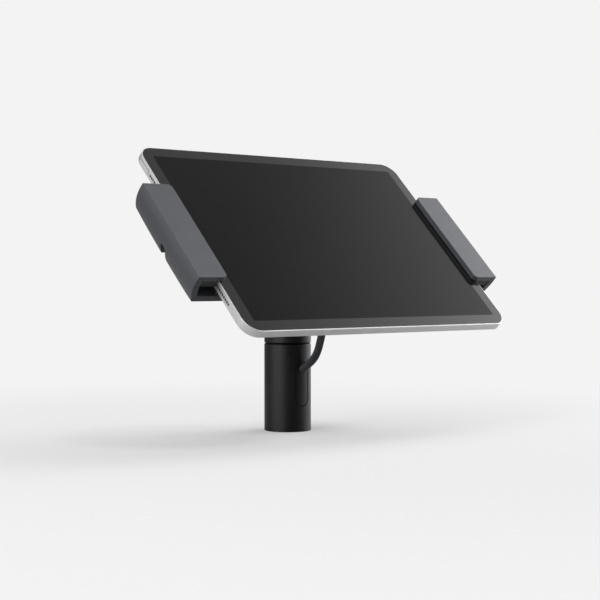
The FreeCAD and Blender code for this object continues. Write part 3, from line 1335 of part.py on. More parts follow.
for item in doc.Objects:
    if "Invalid" in item.State or "Error" in item.State:
        raise ValueError("%s: %s" % (item.Name, item.State))
os.makedirs("parts", exist_ok=True)
for item in parts:
    if item.Shape.isNull() or not item.Shape.isValid():
        raise ValueError("%s has no valid shape" % item.Label)
    item.Shape.exportStep("parts/%s.step" % item.Label)
    print("%-20s solids %d volume %.1f" % (item.Label, len(item.Shape.Solids), item.Shape.Volume))
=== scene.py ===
import math
import bmesh
import bpy
from mathutils import Matrix, Vector


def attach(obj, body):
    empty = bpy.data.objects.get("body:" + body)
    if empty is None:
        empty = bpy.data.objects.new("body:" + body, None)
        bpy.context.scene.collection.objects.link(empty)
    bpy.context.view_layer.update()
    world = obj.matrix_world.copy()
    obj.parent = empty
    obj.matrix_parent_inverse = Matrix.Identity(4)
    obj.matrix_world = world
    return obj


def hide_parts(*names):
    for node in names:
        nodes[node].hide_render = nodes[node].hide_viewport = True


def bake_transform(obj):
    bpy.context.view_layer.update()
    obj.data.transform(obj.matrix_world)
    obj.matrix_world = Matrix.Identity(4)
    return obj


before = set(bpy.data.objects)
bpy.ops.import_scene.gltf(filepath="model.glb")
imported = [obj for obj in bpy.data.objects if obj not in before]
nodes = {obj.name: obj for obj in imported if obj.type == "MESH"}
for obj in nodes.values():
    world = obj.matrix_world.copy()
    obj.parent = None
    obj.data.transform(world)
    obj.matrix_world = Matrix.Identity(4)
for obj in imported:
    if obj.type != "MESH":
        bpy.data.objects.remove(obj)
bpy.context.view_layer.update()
scene = bpy.context.scene
scene.view_settings.view_transform = "Standard"

# Places in the row frame, in metres
AXIS_HEIGHT = 0.0973
REST_TILT = math.radians(45)
REACH = 0.065
HEAD = Matrix.Translation((0, 0, AXIS_HEIGHT)) @ Matrix.Rotation(REST_TILT, 4, "X")
MM = 0.001

# The cable's route in millimetres, forward of the post's axis and up, as in the part's source
LOWER_ROUTE = ((17.5, 47.0), (23.6, 50.24), (30.2, 54.75), (34.4, 60.9), (36.9, 67.6), (38.7, 73.1))
UPPER_ROUTE = ((38.7, 73.1), (40.86, 79.7), (44.2, 88.4), (46.67, 97.3), (46.67, 106.44))
CABLE_RADIUS = 2.85


# Camera: lens and sensor in millimetres, place in metres, turn in degrees
LENS = 85
SENSOR = 36
CAMERA_PLACE = (-0.68715, -0.81087, 0.11499)
CAMERA_TURN = (89.0608, 0, -40.7798)
camera_data = bpy.data.cameras.new("camera")
camera_data.lens = LENS
camera_data.sensor_width = SENSOR
camera = bpy.data.objects.new("camera", camera_data)
camera.location = CAMERA_PLACE
camera.rotation_euler = [math.radians(angle) for angle in CAMERA_TURN]
scene.collection.objects.link(camera)
scene.camera = camera


# Material helpers
NOISE_LOW = 0.3
NOISE_HIGH = 0.7
PATCH_SCALE = 60.0
PATCH_DETAIL = 4.0
ROUGHNESS_SCALE = 300.0
ROUGHNESS_DETAIL = 3.0
GRAIN_STRENGTH = 0.5
GRAIN_DETAIL = 2.0


def material(name, **values):
    """A material with a Principled shader whose sockets take the values given by name."""
    item = bpy.data.materials.new(name)
    item.use_nodes = True
    shader = item.node_tree.nodes["Principled BSDF"]
    for socket, value in values.items():
        shader.inputs[socket.replace("_", " ")].default_value = value
    return item


def add(item, kind, **values):
    """Adds a node to a material and sets its sockets or properties."""
    node = item.node_tree.nodes.new(kind)
    for key, value in values.items():
        words = key.replace("_", " ")
        if words in node.inputs:
            node.inputs[words].default_value = value
        else:
            setattr(node, key, value)
    return node


def link(item, start, end):
    """Joins an output of one node to an input of another."""
    item.node_tree.links.new(start, end)


def shader_of(item):
    """The material's Principled shader."""
    return item.node_tree.nodes["Principled BSDF"]


def place(item, turned=False):
    """Object coordinates, in the head's own directions if turned."""
    where = add(item, "ShaderNodeTexCoord").outputs["Object"]
    if not turned:
        return where
    straight = add(item, "ShaderNodeMapping")
    straight.vector_type = "TEXTURE"
    straight.inputs["Location"].default_value = (0, 0, AXIS_HEIGHT)
    straight.inputs["Rotation"].default_value = (REST_TILT, 0, 0)
    link(item, where, straight.inputs["Vector"])
    return straight.outputs["Vector"]


def blend_colours(item, value, low, high, colours):
    """Base colour between two colours as a value goes from low to high."""
    ramp = add(item, "ShaderNodeValToRGB")
    for stop, position, colour in zip(ramp.color_ramp.elements, (low, high), colours):
        stop.position = position
        stop.color = (*colour, 1)
    link(item, value, ramp.inputs["Fac"])
    link(item, ramp.outputs["Color"], shader_of(item).inputs["Base Color"])


def vary(item, vector, colours):
    """Base colour from a soft noise between two colours."""
    noise = add(item, "ShaderNodeTexNoise", Scale=PATCH_SCALE, Detail=PATCH_DETAIL)
    link(item, vector, noise.inputs["Vector"])
    blend_colours(item, noise.outputs["Fac"], NOISE_LOW, NOISE_HIGH, colours)


def roughen(item, vector, low, high, scale=ROUGHNESS_SCALE):
    """Roughness from a noise between two values."""
    noise = add(item, "ShaderNodeTexNoise", Scale=scale, Detail=ROUGHNESS_DETAIL)
    link(item, vector, noise.inputs["Vector"])
    spread = add(item, "ShaderNodeMapRange")
    spread.inputs["From Min"].default_value = NOISE_LOW
    spread.inputs["From Max"].default_value = NOISE_HIGH
    spread.inputs["To Min"].default_value = low
    spread.inputs["To Max"].default_value = high
    link(item, noise.outputs["Fac"], spread.inputs["Value"])
    link(item, spread.outputs["Result"], shader_of(item).inputs["Roughness"])


def grain(item, vector, scale, height, strength=GRAIN_STRENGTH):
    """A fine bump. Height is in metres."""
    noise = add(item, "ShaderNodeTexNoise", Scale=scale, Detail=GRAIN_DETAIL)
    link(item, vector, noise.inputs["Vector"])
    bump = add(item, "ShaderNodeBump", Strength=strength, Distance=height)
    link(item, noise.outputs["Fac"], bump.inputs["Height"])
    link(item, bump.outputs["Normal"], shader_of(item).inputs["Normal"])


# Materials
def finish(name, dark, light, low, high, metallic=0.0, turned=False, fine=2500.0, height=0.00002, **values):
    """A surface between two colours and two roughnesses, with fine grain."""
    item = material(name, Metallic=metallic, **values)
    vector = place(item, turned)
    vary(item, vector, (dark, light))
    roughen(item, vector, low, high)
    grain(item, vector, fine, height)
    return item


powder_black = finish("powder_black", (0.0040, 0.0040, 0.0042), (0.0055, 0.0055, 0.0058), 0.36, 0.44,
                      fine=3200.0, height=0.00003, Specular_IOR_Level=0.22)
cover_black = finish("cover_black", (0.0045, 0.0045, 0.0047), (0.0060, 0.0060, 0.0063), 0.40, 0.48,
                     fine=2600.0, height=0.00003, Specular_IOR_Level=0.19)
# Painted shade: near black with almost no gloss, darker than the black bush alone. It stands in for the
# shade in the seam at the swivel bush and in the holes and gaps round the speakers, buttons and cable slot.
black_and_painted_gap_shade = finish("black_and_painted_gap_shade", (0.001, 0.001, 0.001), (0.002, 0.002, 0.002), 0.6, 0.7,
                    Specular_IOR_Level=0.05)
anodised_black = finish("anodised_black", (0.017, 0.017, 0.018), (0.022, 0.022, 0.023), 0.34, 0.42,
                        turned=True, fine=4200.0)
slate = finish("slate_anodised", (0.090, 0.094, 0.106), (0.099, 0.103, 0.115), 0.40, 0.48,
               metallic=0.25, turned=True, fine=4800.0, height=0.000025, Specular_IOR_Level=0.4)
steel = finish("zinc_steel", (0.42, 0.42, 0.43), (0.52, 0.52, 0.53), 0.29, 0.38, metallic=1.0)
acetal = finish("black_acetal", (0.006, 0.006, 0.006), (0.009, 0.009, 0.009), 0.4, 0.5)
matte_black = finish("moulded_black", (0.016, 0.016, 0.017), (0.022, 0.022, 0.023), 0.42, 0.52,
                     fine=2600.0, height=0.00003)
rubber = finish("soft_rubber", (0.020, 0.022, 0.021), (0.030, 0.033, 0.031), 0.66, 0.8,
                turned=True, fine=1800.0, height=0.00006)
silver = finish("tablet_silver", (0.82, 0.825, 0.83), (0.86, 0.865, 0.87), 0.29, 0.35, metallic=0.5,
                turned=True, fine=2400.0, height=0.000002)
panel = finish("panel_off", (0.006, 0.006, 0.007), (0.008, 0.008, 0.009), 0.2, 0.25, turned=True)
cell = finish("cell_wrap", (0.04, 0.04, 0.04), (0.05, 0.05, 0.05), 0.4, 0.5, turned=True)
board = finish("board", (0.008, 0.028, 0.018), (0.012, 0.036, 0.022), 0.4, 0.5, turned=True)
gear_brass = finish("gear_brass", (0.62, 0.43, 0.17), (0.70, 0.50, 0.22), 0.29, 0.36, metallic=1.0,
                    turned=True)
lens_black = finish("lens_coat", (0.003, 0.003, 0.005), (0.004, 0.004, 0.007), 0.05, 0.08, turned=True,
                    height=0.0, Coat_Weight=1.0, Coat_Roughness=0.03)


GLASS_IOR = 1.5
SMEAR_SCALE = 40.0
SMEAR = 0.1


def glass_material(name, colour, roughness, reflection):
    """Dark glass with faint smears in its gloss."""
    item = material(name, Base_Color=(*colour, 1), Roughness=roughness, IOR=GLASS_IOR,
                    Specular_IOR_Level=reflection)
    roughen(item, place(item, turned=True), roughness * (1 - SMEAR), roughness * (1 + SMEAR),
            scale=SMEAR_SCALE)
    return item


screen_glass = glass_material("screen_glass", (0.0062, 0.0062, 0.0066), 0.13, 0.12)
bezel_glass = glass_material("bezel_glass", (0.010, 0.010, 0.0104), 0.13, 0.5)


BRAID_DARK = (0.038, 0.042, 0.048)
BRAID_LIGHT = (0.070, 0.078, 0.090)
BRAID_RANGE = (0.35, 0.8)
BRAID_FIBRES = 5200.0
BRAID_FIBRE_HEIGHT = 0.00006
BRAID_FIBRE_STRENGTH = 0.6


def braid_material():
    """Woven yarns along the cable: a diamond pattern from the tube's own coordinates."""
    item = material("cable_braid", Roughness=0.78, Sheen_Weight=0.35, Sheen_Roughness=0.4)
    where = add(item, "ShaderNodeUVMap")
    where.uv_map = "along"
    split = add(item, "ShaderNodeSeparateXYZ")
    link(item, where.outputs["UV"], split.inputs["Vector"])
    waves = []
    for sign in (1, -1):
        total = add(item, "ShaderNodeMath", operation="MULTIPLY_ADD")
        total.inputs[1].default_value = sign
        link(item, split.outputs["Y"], total.inputs[0])
        link(item, split.outputs["X"], total.inputs[2])
        turn = add(item, "ShaderNodeMath", operation="MULTIPLY")
        turn.inputs[1].default_value = 2 * math.pi
        link(item, total.outputs["Value"], turn.inputs[0])
        wave = add(item, "ShaderNodeMath", operation="SINE")
        link(item, turn.outputs["Value"], wave.inputs[0])
        waves.append(wave)
    cross = add(item, "ShaderNodeMath", operation="MULTIPLY")
    link(item, waves[0].outputs["Value"], cross.inputs[0])
    link(item, waves[1].outputs["Value"], cross.inputs[1])
    level = add(item, "ShaderNodeMapRange")
    level.inputs["From Min"].default_value = -1
    link(item, cross.outputs["Value"], level.inputs["Value"])
    blend_colours(item, level.outputs["Result"], *BRAID_RANGE, (BRAID_DARK, BRAID_LIGHT))
    grain(item, place(item), BRAID_FIBRES, BRAID_FIBRE_HEIGHT, strength=BRAID_FIBRE_STRENGTH)
    return item


braid = braid_material()


# Cable: a smooth spline through the route, with a woven tube round it, in metres
YARNS = 20
WEAVE_LENGTH = 0.0017
WEAVE_HEIGHT = 0.00011
WEAVE_ROUNDING = 0.7
LINE_STEPS = 40
RING_STEP = 0.00018
RINGS_PER_PATH_POINT = 6
ROUND = 120


def centreline(name, route):
    """Points along the route's NURBS spline."""
    data = bpy.data.curves.new(name, "CURVE")
    data.dimensions = "3D"
    data.resolution_u = LINE_STEPS
    spline = data.splines.new("NURBS")
    spline.points.add(len(route) - 1)
    for point, (forward, up) in zip(spline.points, route):
        point.co = (0, -forward * MM, up * MM, 1)
    spline.order_u = 3
    spline.use_endpoint_u = True
    holder = bpy.data.objects.new(name, data)
    scene.collection.objects.link(holder)
    bpy.context.view_layer.update()
    mesh = bpy.data.meshes.new_from_object(holder)
    points = [v.co.copy() for v in mesh.vertices]
    bpy.data.objects.remove(holder)
    bpy.data.meshes.remove(mesh)
    return points


def evenly(points, step):
    """The same line with even steps of about that length."""
    lengths = [0.0]
    for a, b in zip(points, points[1:]):
        lengths.append(lengths[-1] + (b - a).length)
    count = max(2, round(lengths[-1] / step))
    result = []
    index = 0
    for number in range(count + 1):
        target = lengths[-1] * number / count
        while index < len(lengths) - 2 and lengths[index + 1] < target:
            index += 1
        span = lengths[index + 1] - lengths[index]
        share = (target - lengths[index]) / span if span else 0
        result.append(points[index].lerp(points[index + 1], share))
    return result, lengths[-1]


def woven_tube(name, route, start_phase):
    """A braid of yarns round the route. Also gives its path, its length and the braid's last phase."""
    line = centreline(name + "_line", route)
    rings, length = evenly(line, RING_STEP)
    base = CABLE_RADIUS * MM - WEAVE_HEIGHT
    mesh = bpy.data.meshes.new(name)
    build = bmesh.new()
    layer = build.loops.layers.uv.new("along")
    side = Vector((1, 0, 0))
    rows = []
    travelled = 0
    steps = []
    for number, point in enumerate(rings):
        before = rings[max(number - 1, 0)]
        after = rings[min(number + 1, len(rings) - 1)]
        direction = (after - before).normalized()
        up = side.cross(direction).normalized()
        if number:
            travelled += (point - rings[number - 1]).length
        along = start_phase + travelled / WEAVE_LENGTH
        steps.append(along)
        row = []
        for turn in range(ROUND):
            angle = 2 * math.pi * turn / ROUND
            around = YARNS * turn / ROUND
            one = math.sin(math.pi * (around + along))
            other = math.sin(math.pi * (around - along))
            over = 0.5 + 0.5 * math.sin(math.pi * around) * math.cos(math.pi * along)
            lift = over * abs(one) ** WEAVE_ROUNDING + (1 - over) * abs(other) ** WEAVE_ROUNDING
            radius = base + WEAVE_HEIGHT * lift
            outwards = side * (radius * math.cos(angle)) + up * (radius * math.sin(angle))
            row.append(build.verts.new(point + outwards))
        rows.append(row)
    for number in range(len(rows) - 1):
        for turn in range(ROUND):
            following = (turn + 1) % ROUND
            face = build.faces.new((rows[number][turn], rows[number][following],
                                    rows[number + 1][following], rows[number + 1][turn]))
            face.smooth = True
            corners = ((turn, number), (turn + 1, number), (turn + 1, number + 1), (turn, number + 1))
            for loop, (u, v) in zip(face.loops, corners):
                loop[layer].uv = (YARNS * u / ROUND / 2, steps[v] / 2)
    build.faces.new(list(reversed(rows[0])))
    build.faces.new(rows[-1])
    bmesh.ops.recalc_face_normals(build, faces=build.faces)
    build.to_mesh(mesh)
    build.free()
    item = bpy.data.objects.new(name, mesh)
    scene.collection.objects.link(item)
    item.data.materials.append(braid)
    path = [tuple(p) for p in rings[::RINGS_PER_PATH_POINT] + [rings[-1]]]
    return item, path, length, steps[-1]


lower, lower_path, lower_length, phase = woven_tube("braided_cable_lower", LOWER_ROUTE, 0)
upper, upper_path, upper_length, _ = woven_tube("braided_cable_upper", UPPER_ROUTE, phase)
for piece, path, length, node in ((lower, lower_path, lower_length, "cable_lower"),
                                  (upper, upper_path, upper_length, "cable_upper")):
    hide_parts(node)
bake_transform(lower)
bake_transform(upper)


# Finishes and rounded edges of the solid pieces
FINISHES = {
    "post_tube": powder_black, "base_plug": steel, "slot_cover": cover_black, "top_ring": steel,
    # swivel_bush: its own black, darkened further as painted shade of the seam between head and post
    "swivel_bush": black_and_painted_gap_shade, "stop_pin": steel, "cable_in_post": braid, "swivel_head": powder_black,
    "swivel_bolt": steel, "swivel_washer": steel, "swivel_springs": steel, "tilt_bolt": steel,
    "tilt_nut": steel, "tilt_caps": matte_black, "tilt_washers": acetal, "knuckle": anodised_black,
    "tilt_bush": acetal, "flange_screws": steel, "hub_housing": anodised_black,
    "hub_plate": anodised_black, "hub_pad": rubber, "hub_screws": steel, "cable_gland": matte_black,
    "pinion_pin": steel, "lock_screw": steel, "tablet_housing": silver, "tablet_display": panel,
    "tablet_battery": cell, "tablet_board": board, "camera_ring": silver, "camera_lens": lens_black,
    "flash_lens": lens_black, "pinion": gear_brass, "power_button": silver,
    "volume_up_button": silver, "volume_down_button": silver,
}
for word in ("left", "right"):
    FINISHES[word + "_jaw"] = slate
    FINISHES[word + "_front_pad"] = rubber
    FINISHES[word + "_edge_blocks"] = rubber
    FINISHES[word + "_back_blocks"] = rubber
    FINISHES[word + "_arm"] = anodised_black
    FINISHES[word + "_arm_screws"] = steel
for label, item in FINISHES.items():
    data = nodes[label].data
    data.materials.clear()
    data.materials.append(item)


WELD_DISTANCE = 0.000002
FLAT_ANGLE = math.radians(0.3)
BEVEL_ANGLE = math.radians(35)
SHARP_ANGLE = math.radians(30)
GLASS_SHARP_ANGLE = math.radians(40)
BY_AREA = 100
# pieces, width of the rounding in millimetres, segments
SOFTENED = (
    (("post_tube", "swivel_head"), 0.15, 3),
    (("left_jaw", "right_jaw"), 0.08, 3),
    (("hub_housing", "knuckle", "hub_plate"), 0.5, 3),
    (("tilt_caps", "cable_gland", "slot_cover", "camera_ring"), 0.15, 3),
    (("left_edge_blocks", "right_edge_blocks", "left_back_blocks", "right_back_blocks"), 0.4, 3),
    (("tablet_housing",), 0.06, 2),
    (("left_arm", "right_arm"), 0.2, 2),
)


def shade_smooth(item, angle=SHARP_ANGLE):
    """Smooth shading that keeps edges sharper than the angle."""
    bpy.context.view_layer.objects.active = item
    item.select_set(True)
    bpy.ops.object.shade_auto_smooth(angle=angle)
    item.select_set(False)


def soften(item, width, segments):
    """Rounds a solid's edges with modifiers that leave its mesh as it is."""
    weld = item.modifiers.new("weld", "WELD")
    weld.merge_threshold = WELD_DISTANCE
    flat = item.modifiers.new("flat", "DECIMATE")
    flat.decimate_type = "DISSOLVE"
    flat.angle_limit = FLAT_ANGLE
    bevel = item.modifiers.new("edges", "BEVEL")
    bevel.width = width * MM
    bevel.segments = segments
    bevel.limit_method = "ANGLE"
    bevel.angle_limit = BEVEL_ANGLE
    shade_smooth(item)
    item.modifiers[-1].use_pin_to_last = False
    even = item.modifiers.new("even", "WEIGHTED_NORMAL")
    even.weight = BY_AREA
    even.keep_sharp = True


for labels, width, segments in SOFTENED:
    for label in labels:
        soften(nodes[label], width, segments)


# Front glass of the tablet: rounded edge, dark border and a switched-off display area, in millimetres
GLASS_WIDTH = 247.3
GLASS_HEIGHT = 177.3
GLASS_CORNER = 11.55
GLASS_THICKNESS = 0.9
GLASS_EDGE = 0.22
GLASS_EDGE_STEPS = 4
GLASS_CLEARANCE = 0.02
DISPLAY_WIDTH = 230.0
DISPLAY_HEIGHT = 160.0
DISPLAY_CORNER = 1.5
CORNER_STEPS = 16


def round_rectangle(width, height, corner):
    """Points round a rectangle with rounded corners, in millimetres."""
    points = []
    for number, (sx, sy) in enumerate(((1, 1), (-1, 1), (-1, -1), (1, -1))):
        centre_x, centre_y = sx * (width / 2 - corner), sy * (height / 2 - corner)
        for step in range(CORNER_STEPS + 1):
            angle = math.pi / 2 * (number + step / CORNER_STEPS)
            points.append((centre_x + corner * math.cos(angle), centre_y + corner * math.sin(angle)))
    return points


def on_head(x, y, z):
    """A point in the row frame from millimetres across the tablet, up it and out of the tilt axis."""
    return HEAD @ Vector((x * MM, y * MM, z * MM))


def new_piece(name, build, *materials):
    """An object from a finished bmesh, with its materials."""
    mesh = bpy.data.meshes.new(name)
    bmesh.ops.recalc_face_normals(build, faces=build.faces)
    build.to_mesh(mesh)
    build.free()
    result = bpy.data.objects.new(name, mesh)
    scene.collection.objects.link(result)
    for each in materials:
        mesh.materials.append(each)
    return result


def front_glass():
    """The glass plate: border and back in the first material, the display area in the second."""
    build = bmesh.new()
    front = REACH / MM - GLASS_CLEARANCE
    rings = []
    levels = [(0.0, front - GLASS_THICKNESS)]
    for step in range(GLASS_EDGE_STEPS + 1):
        angle = math.pi / 2 * step / GLASS_EDGE_STEPS
        levels.append((GLASS_EDGE * (1 - math.cos(angle)), front - GLASS_EDGE * (1 - math.sin(angle))))
    for inset, level in levels:
        shape = round_rectangle(GLASS_WIDTH - 2 * inset, GLASS_HEIGHT - 2 * inset, GLASS_CORNER - inset)
        rings.append([build.verts.new(on_head(x, y, level)) for x, y in shape])
    inner = [build.verts.new(on_head(x, y, front))
             for x, y in round_rectangle(DISPLAY_WIDTH, DISPLAY_HEIGHT, DISPLAY_CORNER)]
    rings.append(inner)
    count = len(inner)
    for low, high in zip(rings, rings[1:]):
        for number in range(count):
            following = (number + 1) % count
            build.faces.new((low[number], low[following], high[following], high[number]))
    screen = build.faces.new(inner)
    screen.material_index = 1
    build.faces.new(list(reversed(rings[0])))
    return new_piece("front_glass", build, bezel_glass, screen_glass)


glass = front_glass()
shade_smooth(glass, GLASS_SHARP_ANGLE)
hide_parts("tablet_glass")
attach(glass, "head")


# Painted shade: a dark disc inside each speaker hole, and dark rings round the holes, the side buttons and
# the cable slot, which stand in for the shade in these holes and gaps.
# All in millimetres
HOUSING_WIDTH = 248.6
HOUSING_HEIGHT = 178.6
EDGE_MIDDLE = 3.4
EDGE_LEVEL = REACH / MM - EDGE_MIDDLE
SPEAKER_LAST = 62.0
SPEAKER_PITCH = 2.2
SPEAKER_COUNT = 12
SPEAKER_RADIUS = 0.55
SPEAKER_EDGE_RADIUS = 0.88
SHADE_DISC_DEPTH = 0.12
RING_HEIGHT = 0.01
RING_STEPS = 32
BUTTON_RADIUS = 1.1
BUTTON_CLEARANCE = 0.03
BUTTON_EDGE = 0.25
# middle along the edge, from the edge's own middle, and length
POWER_BUTTON = (72.0, 14.0)
VOLUME_BUTTONS = ((-99.0, 10.0), (-86.0, 10.0))
POST_RADIUS = 17.5
SLOT_MIDDLE = 35.75
SLOT_LENGTH = 33.5
SLOT_WIDTH = 12.0
SLOT_EDGE = 0.35
SLOT_EDGE_HEIGHT = 0.03


def obround(build, point, straight, radius):
    """Vertices of an obround. Point turns millimetres along and across it into a place."""
    ring = []
    for number in range(RING_STEPS):
        angle = 2 * math.pi * (number + 0.5) / RING_STEPS
        along = math.copysign(straight / 2, math.cos(angle)) + radius * math.cos(angle)
        ring.append(build.verts.new(point(along, radius * math.sin(angle))))
    return ring


def flat_ring(build, point, straight, inner_radius, outer_radius):
    """A flat ring between two obrounds."""
    inner = obround(build, point, straight, inner_radius)
    outer = obround(build, point, straight, outer_radius)
    for number in range(RING_STEPS):
        following = (number + 1) % RING_STEPS
        build.faces.new((inner[number], inner[following], outer[following], outer[number]))


def on_short_edge(distance, middle):
    """Places on a short edge, at a distance across the tablet from its middle."""
    return lambda along, up: on_head(distance, middle + along, EDGE_LEVEL + up)


def on_top_edge(distance, middle):
    """Places on the top edge, at a distance up the tablet from its middle."""
    return lambda along, up: on_head(middle + along, distance, EDGE_LEVEL + up)


def on_post(along, across):
    """Places on the front of the post, round the middle of the cable slot."""
    forward = math.sqrt((POST_RADIUS + SLOT_EDGE_HEIGHT) ** 2 - across ** 2)
    return Vector((across * MM, -forward * MM, (SLOT_MIDDLE + along) * MM))


def painted_speaker_hole_shade():
    """Painted shade: a dark disc inside each speaker hole and a dark ring round its mouth, for the shade in
    the hole.
    """
    build = bmesh.new()
    for side in (-1, 1):
        for end in (-1, 1):
            for number in range(SPEAKER_COUNT):
                middle = end * (SPEAKER_LAST - SPEAKER_PITCH * number)
                inside = on_short_edge(side * (HOUSING_WIDTH / 2 - SHADE_DISC_DEPTH), middle)
                build.faces.new(obround(build, inside, 0, SPEAKER_RADIUS))
                surface = on_short_edge(side * (HOUSING_WIDTH / 2 + RING_HEIGHT), middle)
                flat_ring(build, surface, 0, SPEAKER_RADIUS, SPEAKER_EDGE_RADIUS)
    return new_piece("painted_speaker_hole_shade", build, black_and_painted_gap_shade)


def painted_button_gap_shade():
    """Painted shade: a dark ring round each of the three side buttons, for the shade in its gap."""
    build = bmesh.new()
    short_edge = -HOUSING_WIDTH / 2 - RING_HEIGHT
    top_edge = HOUSING_HEIGHT / 2 + RING_HEIGHT
    buttons = [(on_short_edge(short_edge, POWER_BUTTON[0]), POWER_BUTTON[1])]
    for middle, length in VOLUME_BUTTONS:
        buttons.append((on_top_edge(top_edge, middle), length))
    for point, length in buttons:
        flat_ring(build, point, length - 2 * BUTTON_RADIUS, BUTTON_RADIUS + BUTTON_CLEARANCE,
                  BUTTON_RADIUS + BUTTON_EDGE)
    return new_piece("painted_button_gap_shade", build, black_and_painted_gap_shade)


def painted_slot_ring_shade():
    """Painted shade: a dark ring round the cable slot in the post, for the shade in its gap."""
    build = bmesh.new()
    flat_ring(build, on_post, SLOT_LENGTH - SLOT_WIDTH, SLOT_WIDTH / 2, SLOT_WIDTH / 2 + SLOT_EDGE)
    return new_piece("painted_slot_ring_shade", build, black_and_painted_gap_shade)


for item, body in ((painted_speaker_hole_shade(), "head"), (painted_button_gap_shade(), "head"), (painted_slot_ring_shade(), "post")):
    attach(item, body)


# Floor: white where it only glows, and shaded by the lamps where the share of glow is low. Painted shade:
# the share of glow is lowered in three round areas near the stand, so the strength and shape of the shadow
# there are partly painted.
FLOOR_SIZE = 30.0
WHITE = 0.896
FLOOR_GREY = 0.80
# Painted shade: round areas that lower the share of glow near the stand and so set how strongly the lamps'
# shadow shows there
PAINTED_SHADE_AREAS = (
    # centre, distance where the share of glow starts to rise and where it is full, share at the centre
    ((-0.003, -0.042, 0), 0.173, 0.605, 0.507),
    ((-0.090, 0.026, 0), 0.057, 0.097, 0.66),
    ((0.016, 0.009, 0), 0.006, 0.069, 0.36),
)
FLOOR_IN_REFLECTIONS = 0.60
FLOOR_FOR_OTHER_LIGHT = 0.20


def make_floor():
    """A white floor that takes soft shadows near the stand, their strength partly painted by round areas of
    glow share, and melts into the background.
    """
    build = bmesh.new()
    bmesh.ops.create_grid(build, x_segments=1, y_segments=1, size=FLOOR_SIZE)
    mesh = bpy.data.meshes.new("floor")
    build.to_mesh(mesh)
    build.free()
    item = bpy.data.objects.new("floor", mesh)
    scene.collection.objects.link(item)
    mesh.materials.append(floor_material())


def floor_material():
    """Lit grey and a glow mixed by distance from three centres for the camera, which paints the strength of
    the shade, and a plain grey for all other light.
    """
    item = bpy.data.materials.new("floor_paint")
    item.use_nodes = True
    item.node_tree.nodes.remove(shader_of(item))
    spot = add(item, "ShaderNodeTexCoord")
    share = None
    for centre, begins, full, low in PAINTED_SHADE_AREAS:
        away = add(item, "ShaderNodeVectorMath", operation="DISTANCE")
        away.inputs[1].default_value = centre
        link(item, spot.outputs["Object"], away.inputs[0])
        fade = add(item, "ShaderNodeMapRange", interpolation_type="SMOOTHSTEP")
        fade.inputs["From Min"].default_value = begins
        fade.inputs["From Max"].default_value = full
        fade.inputs["To Min"].default_value = low
        link(item, away.outputs["Value"], fade.inputs["Value"])
        product = add(item, "ShaderNodeMath", operation="MULTIPLY")
        product.inputs[1].default_value = 1
        link(item, fade.outputs["Result"], product.inputs[0])
        if share:
            link(item, share.outputs["Value"], product.inputs[1])
        share = product
    lit = add(item, "ShaderNodeBsdfDiffuse", Color=(FLOOR_GREY, FLOOR_GREY, FLOOR_GREY, 1))
    glow = add(item, "ShaderNodeEmission", Color=(WHITE, WHITE, WHITE, 1))
    blend = add(item, "ShaderNodeMixShader")
    link(item, share.outputs["Value"], blend.inputs["Fac"])
    link(item, lit.outputs["BSDF"], blend.inputs[1])
    link(item, glow.outputs["Emission"], blend.inputs[2])
    path = add(item, "ShaderNodeLightPath")
    grey = add(item, "ShaderNodeMapRange")
    grey.inputs["To Min"].default_value = FLOOR_FOR_OTHER_LIGHT
    grey.inputs["To Max"].default_value = FLOOR_IN_REFLECTIONS
    link(item, path.outputs["Is Glossy Ray"], grey.inputs["Value"])
    real = add(item, "ShaderNodeBsdfDiffuse")
    link(item, grey.outputs["Result"], real.inputs["Color"])
    mix = add(item, "ShaderNodeMixShader")
    link(item, path.outputs["Is Camera Ray"], mix.inputs["Fac"])
    link(item, real.outputs["BSDF"], mix.inputs[1])
    link(item, blend.outputs["Shader"], mix.inputs[2])
    link(item, mix.outputs["Shader"], item.node_tree.nodes["Material Output"].inputs["Surface"])
    return item


make_floor()


# Surroundings: a plain white backdrop, soft light all round, and smooth bright areas for reflections
SOFT_LIGHT = 0.35
GLOSS_BASE = 0.08
GLOSS_AREAS = (
    # towards, dot product where it starts and where it is full, strength
    ((0.97, 0.0, 0.25), 0.79, 0.95, 1.8),
    ((0.98, -0.12, -0.05), 0.68, 0.97, 4.8),
    ((-0.99, -0.03, 0.0), 0.72, 0.985, 6.6),
    ((-0.64, 0.77, 0.0), 0.8, 0.97, 0.4),
    ((0.62, -0.65, 0.42), 0.9, 0.985, 4.0),
    ((0.0, 0.0, 1.0), 0.35, 0.8, 0.42),
)


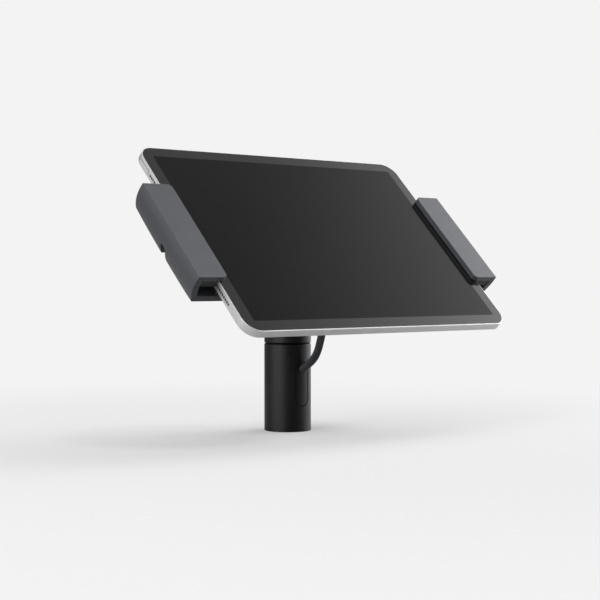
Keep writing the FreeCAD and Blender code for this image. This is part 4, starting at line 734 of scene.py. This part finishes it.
def make_world():
    """Backdrop for the camera, bright areas for reflections and soft light for all the rest."""
    world = bpy.data.worlds.new("world")
    scene.world = world
    world.use_nodes = True
    world.node_tree.nodes.clear()
    where = add(world, "ShaderNodeTexCoord")
    total = None
    for towards, begins, full, strength in GLOSS_AREAS:
        facing = add(world, "ShaderNodeVectorMath", operation="DOT_PRODUCT")
        facing.inputs[1].default_value = Vector(towards).normalized()
        link(world, where.outputs["Generated"], facing.inputs[0])
        area = add(world, "ShaderNodeMapRange", interpolation_type="SMOOTHSTEP")
        area.inputs["From Min"].default_value = begins
        area.inputs["From Max"].default_value = full
        area.inputs["To Max"].default_value = strength
        link(world, facing.outputs["Value"], area.inputs["Value"])
        joined = add(world, "ShaderNodeMath", operation="ADD")
        joined.inputs[1].default_value = GLOSS_BASE
        link(world, area.outputs["Result"], joined.inputs[0])
        if total:
            link(world, total.outputs["Value"], joined.inputs[1])
        total = joined
    gloss = add(world, "ShaderNodeBackground", Color=(1, 1, 1, 1))
    link(world, total.outputs["Value"], gloss.inputs["Strength"])
    soft = add(world, "ShaderNodeBackground", Color=(1, 1, 1, 1), Strength=SOFT_LIGHT)
    backdrop = add(world, "ShaderNodeBackground", Color=(WHITE, WHITE, WHITE, 1))
    path = add(world, "ShaderNodeLightPath")
    first = add(world, "ShaderNodeMixShader")
    link(world, path.outputs["Is Glossy Ray"], first.inputs["Fac"])
    link(world, soft.outputs["Background"], first.inputs[1])
    link(world, gloss.outputs["Background"], first.inputs[2])
    second = add(world, "ShaderNodeMixShader")
    link(world, path.outputs["Is Camera Ray"], second.inputs["Fac"])
    link(world, first.outputs["Shader"], second.inputs[1])
    link(world, backdrop.outputs["Background"], second.inputs[2])
    output = add(world, "ShaderNodeOutputWorld")
    link(world, second.outputs["Shader"], output.inputs["Surface"])


make_world()

# Softboxes: place, width and height in metres, and power in watts
SOFTBOXES = {
    "overhead": ((0.0, 0.0, 1.5), 1.2, 1.2, 2.4),
    "right_high": ((0.95, 0.0, 1.15), 0.9, 1.2, 6.8),
    "right_mid": ((1.15, -0.35, 0.75), 0.6, 0.8, 7.1),
    "left_mid": ((-1.15, -0.35, 0.75), 0.6, 0.8, 7.9),
}
AIM = Vector((0, -0.02, 0.1))


def softbox(name, stand, width, height, power):
    """A rectangular lamp that faces the stand and doesn't show in reflections."""
    data = bpy.data.lights.new(name, "AREA")
    data.shape = "RECTANGLE"
    data.size = width
    data.size_y = height
    data.energy = power
    item = bpy.data.objects.new(name, data)
    item.location = stand
    item.rotation_euler = (AIM - Vector(stand)).to_track_quat("-Z", "Y").to_euler()
    item.visible_glossy = False
    scene.collection.objects.link(item)


for lamp, values in SOFTBOXES.items():
    softbox(lamp, *values)
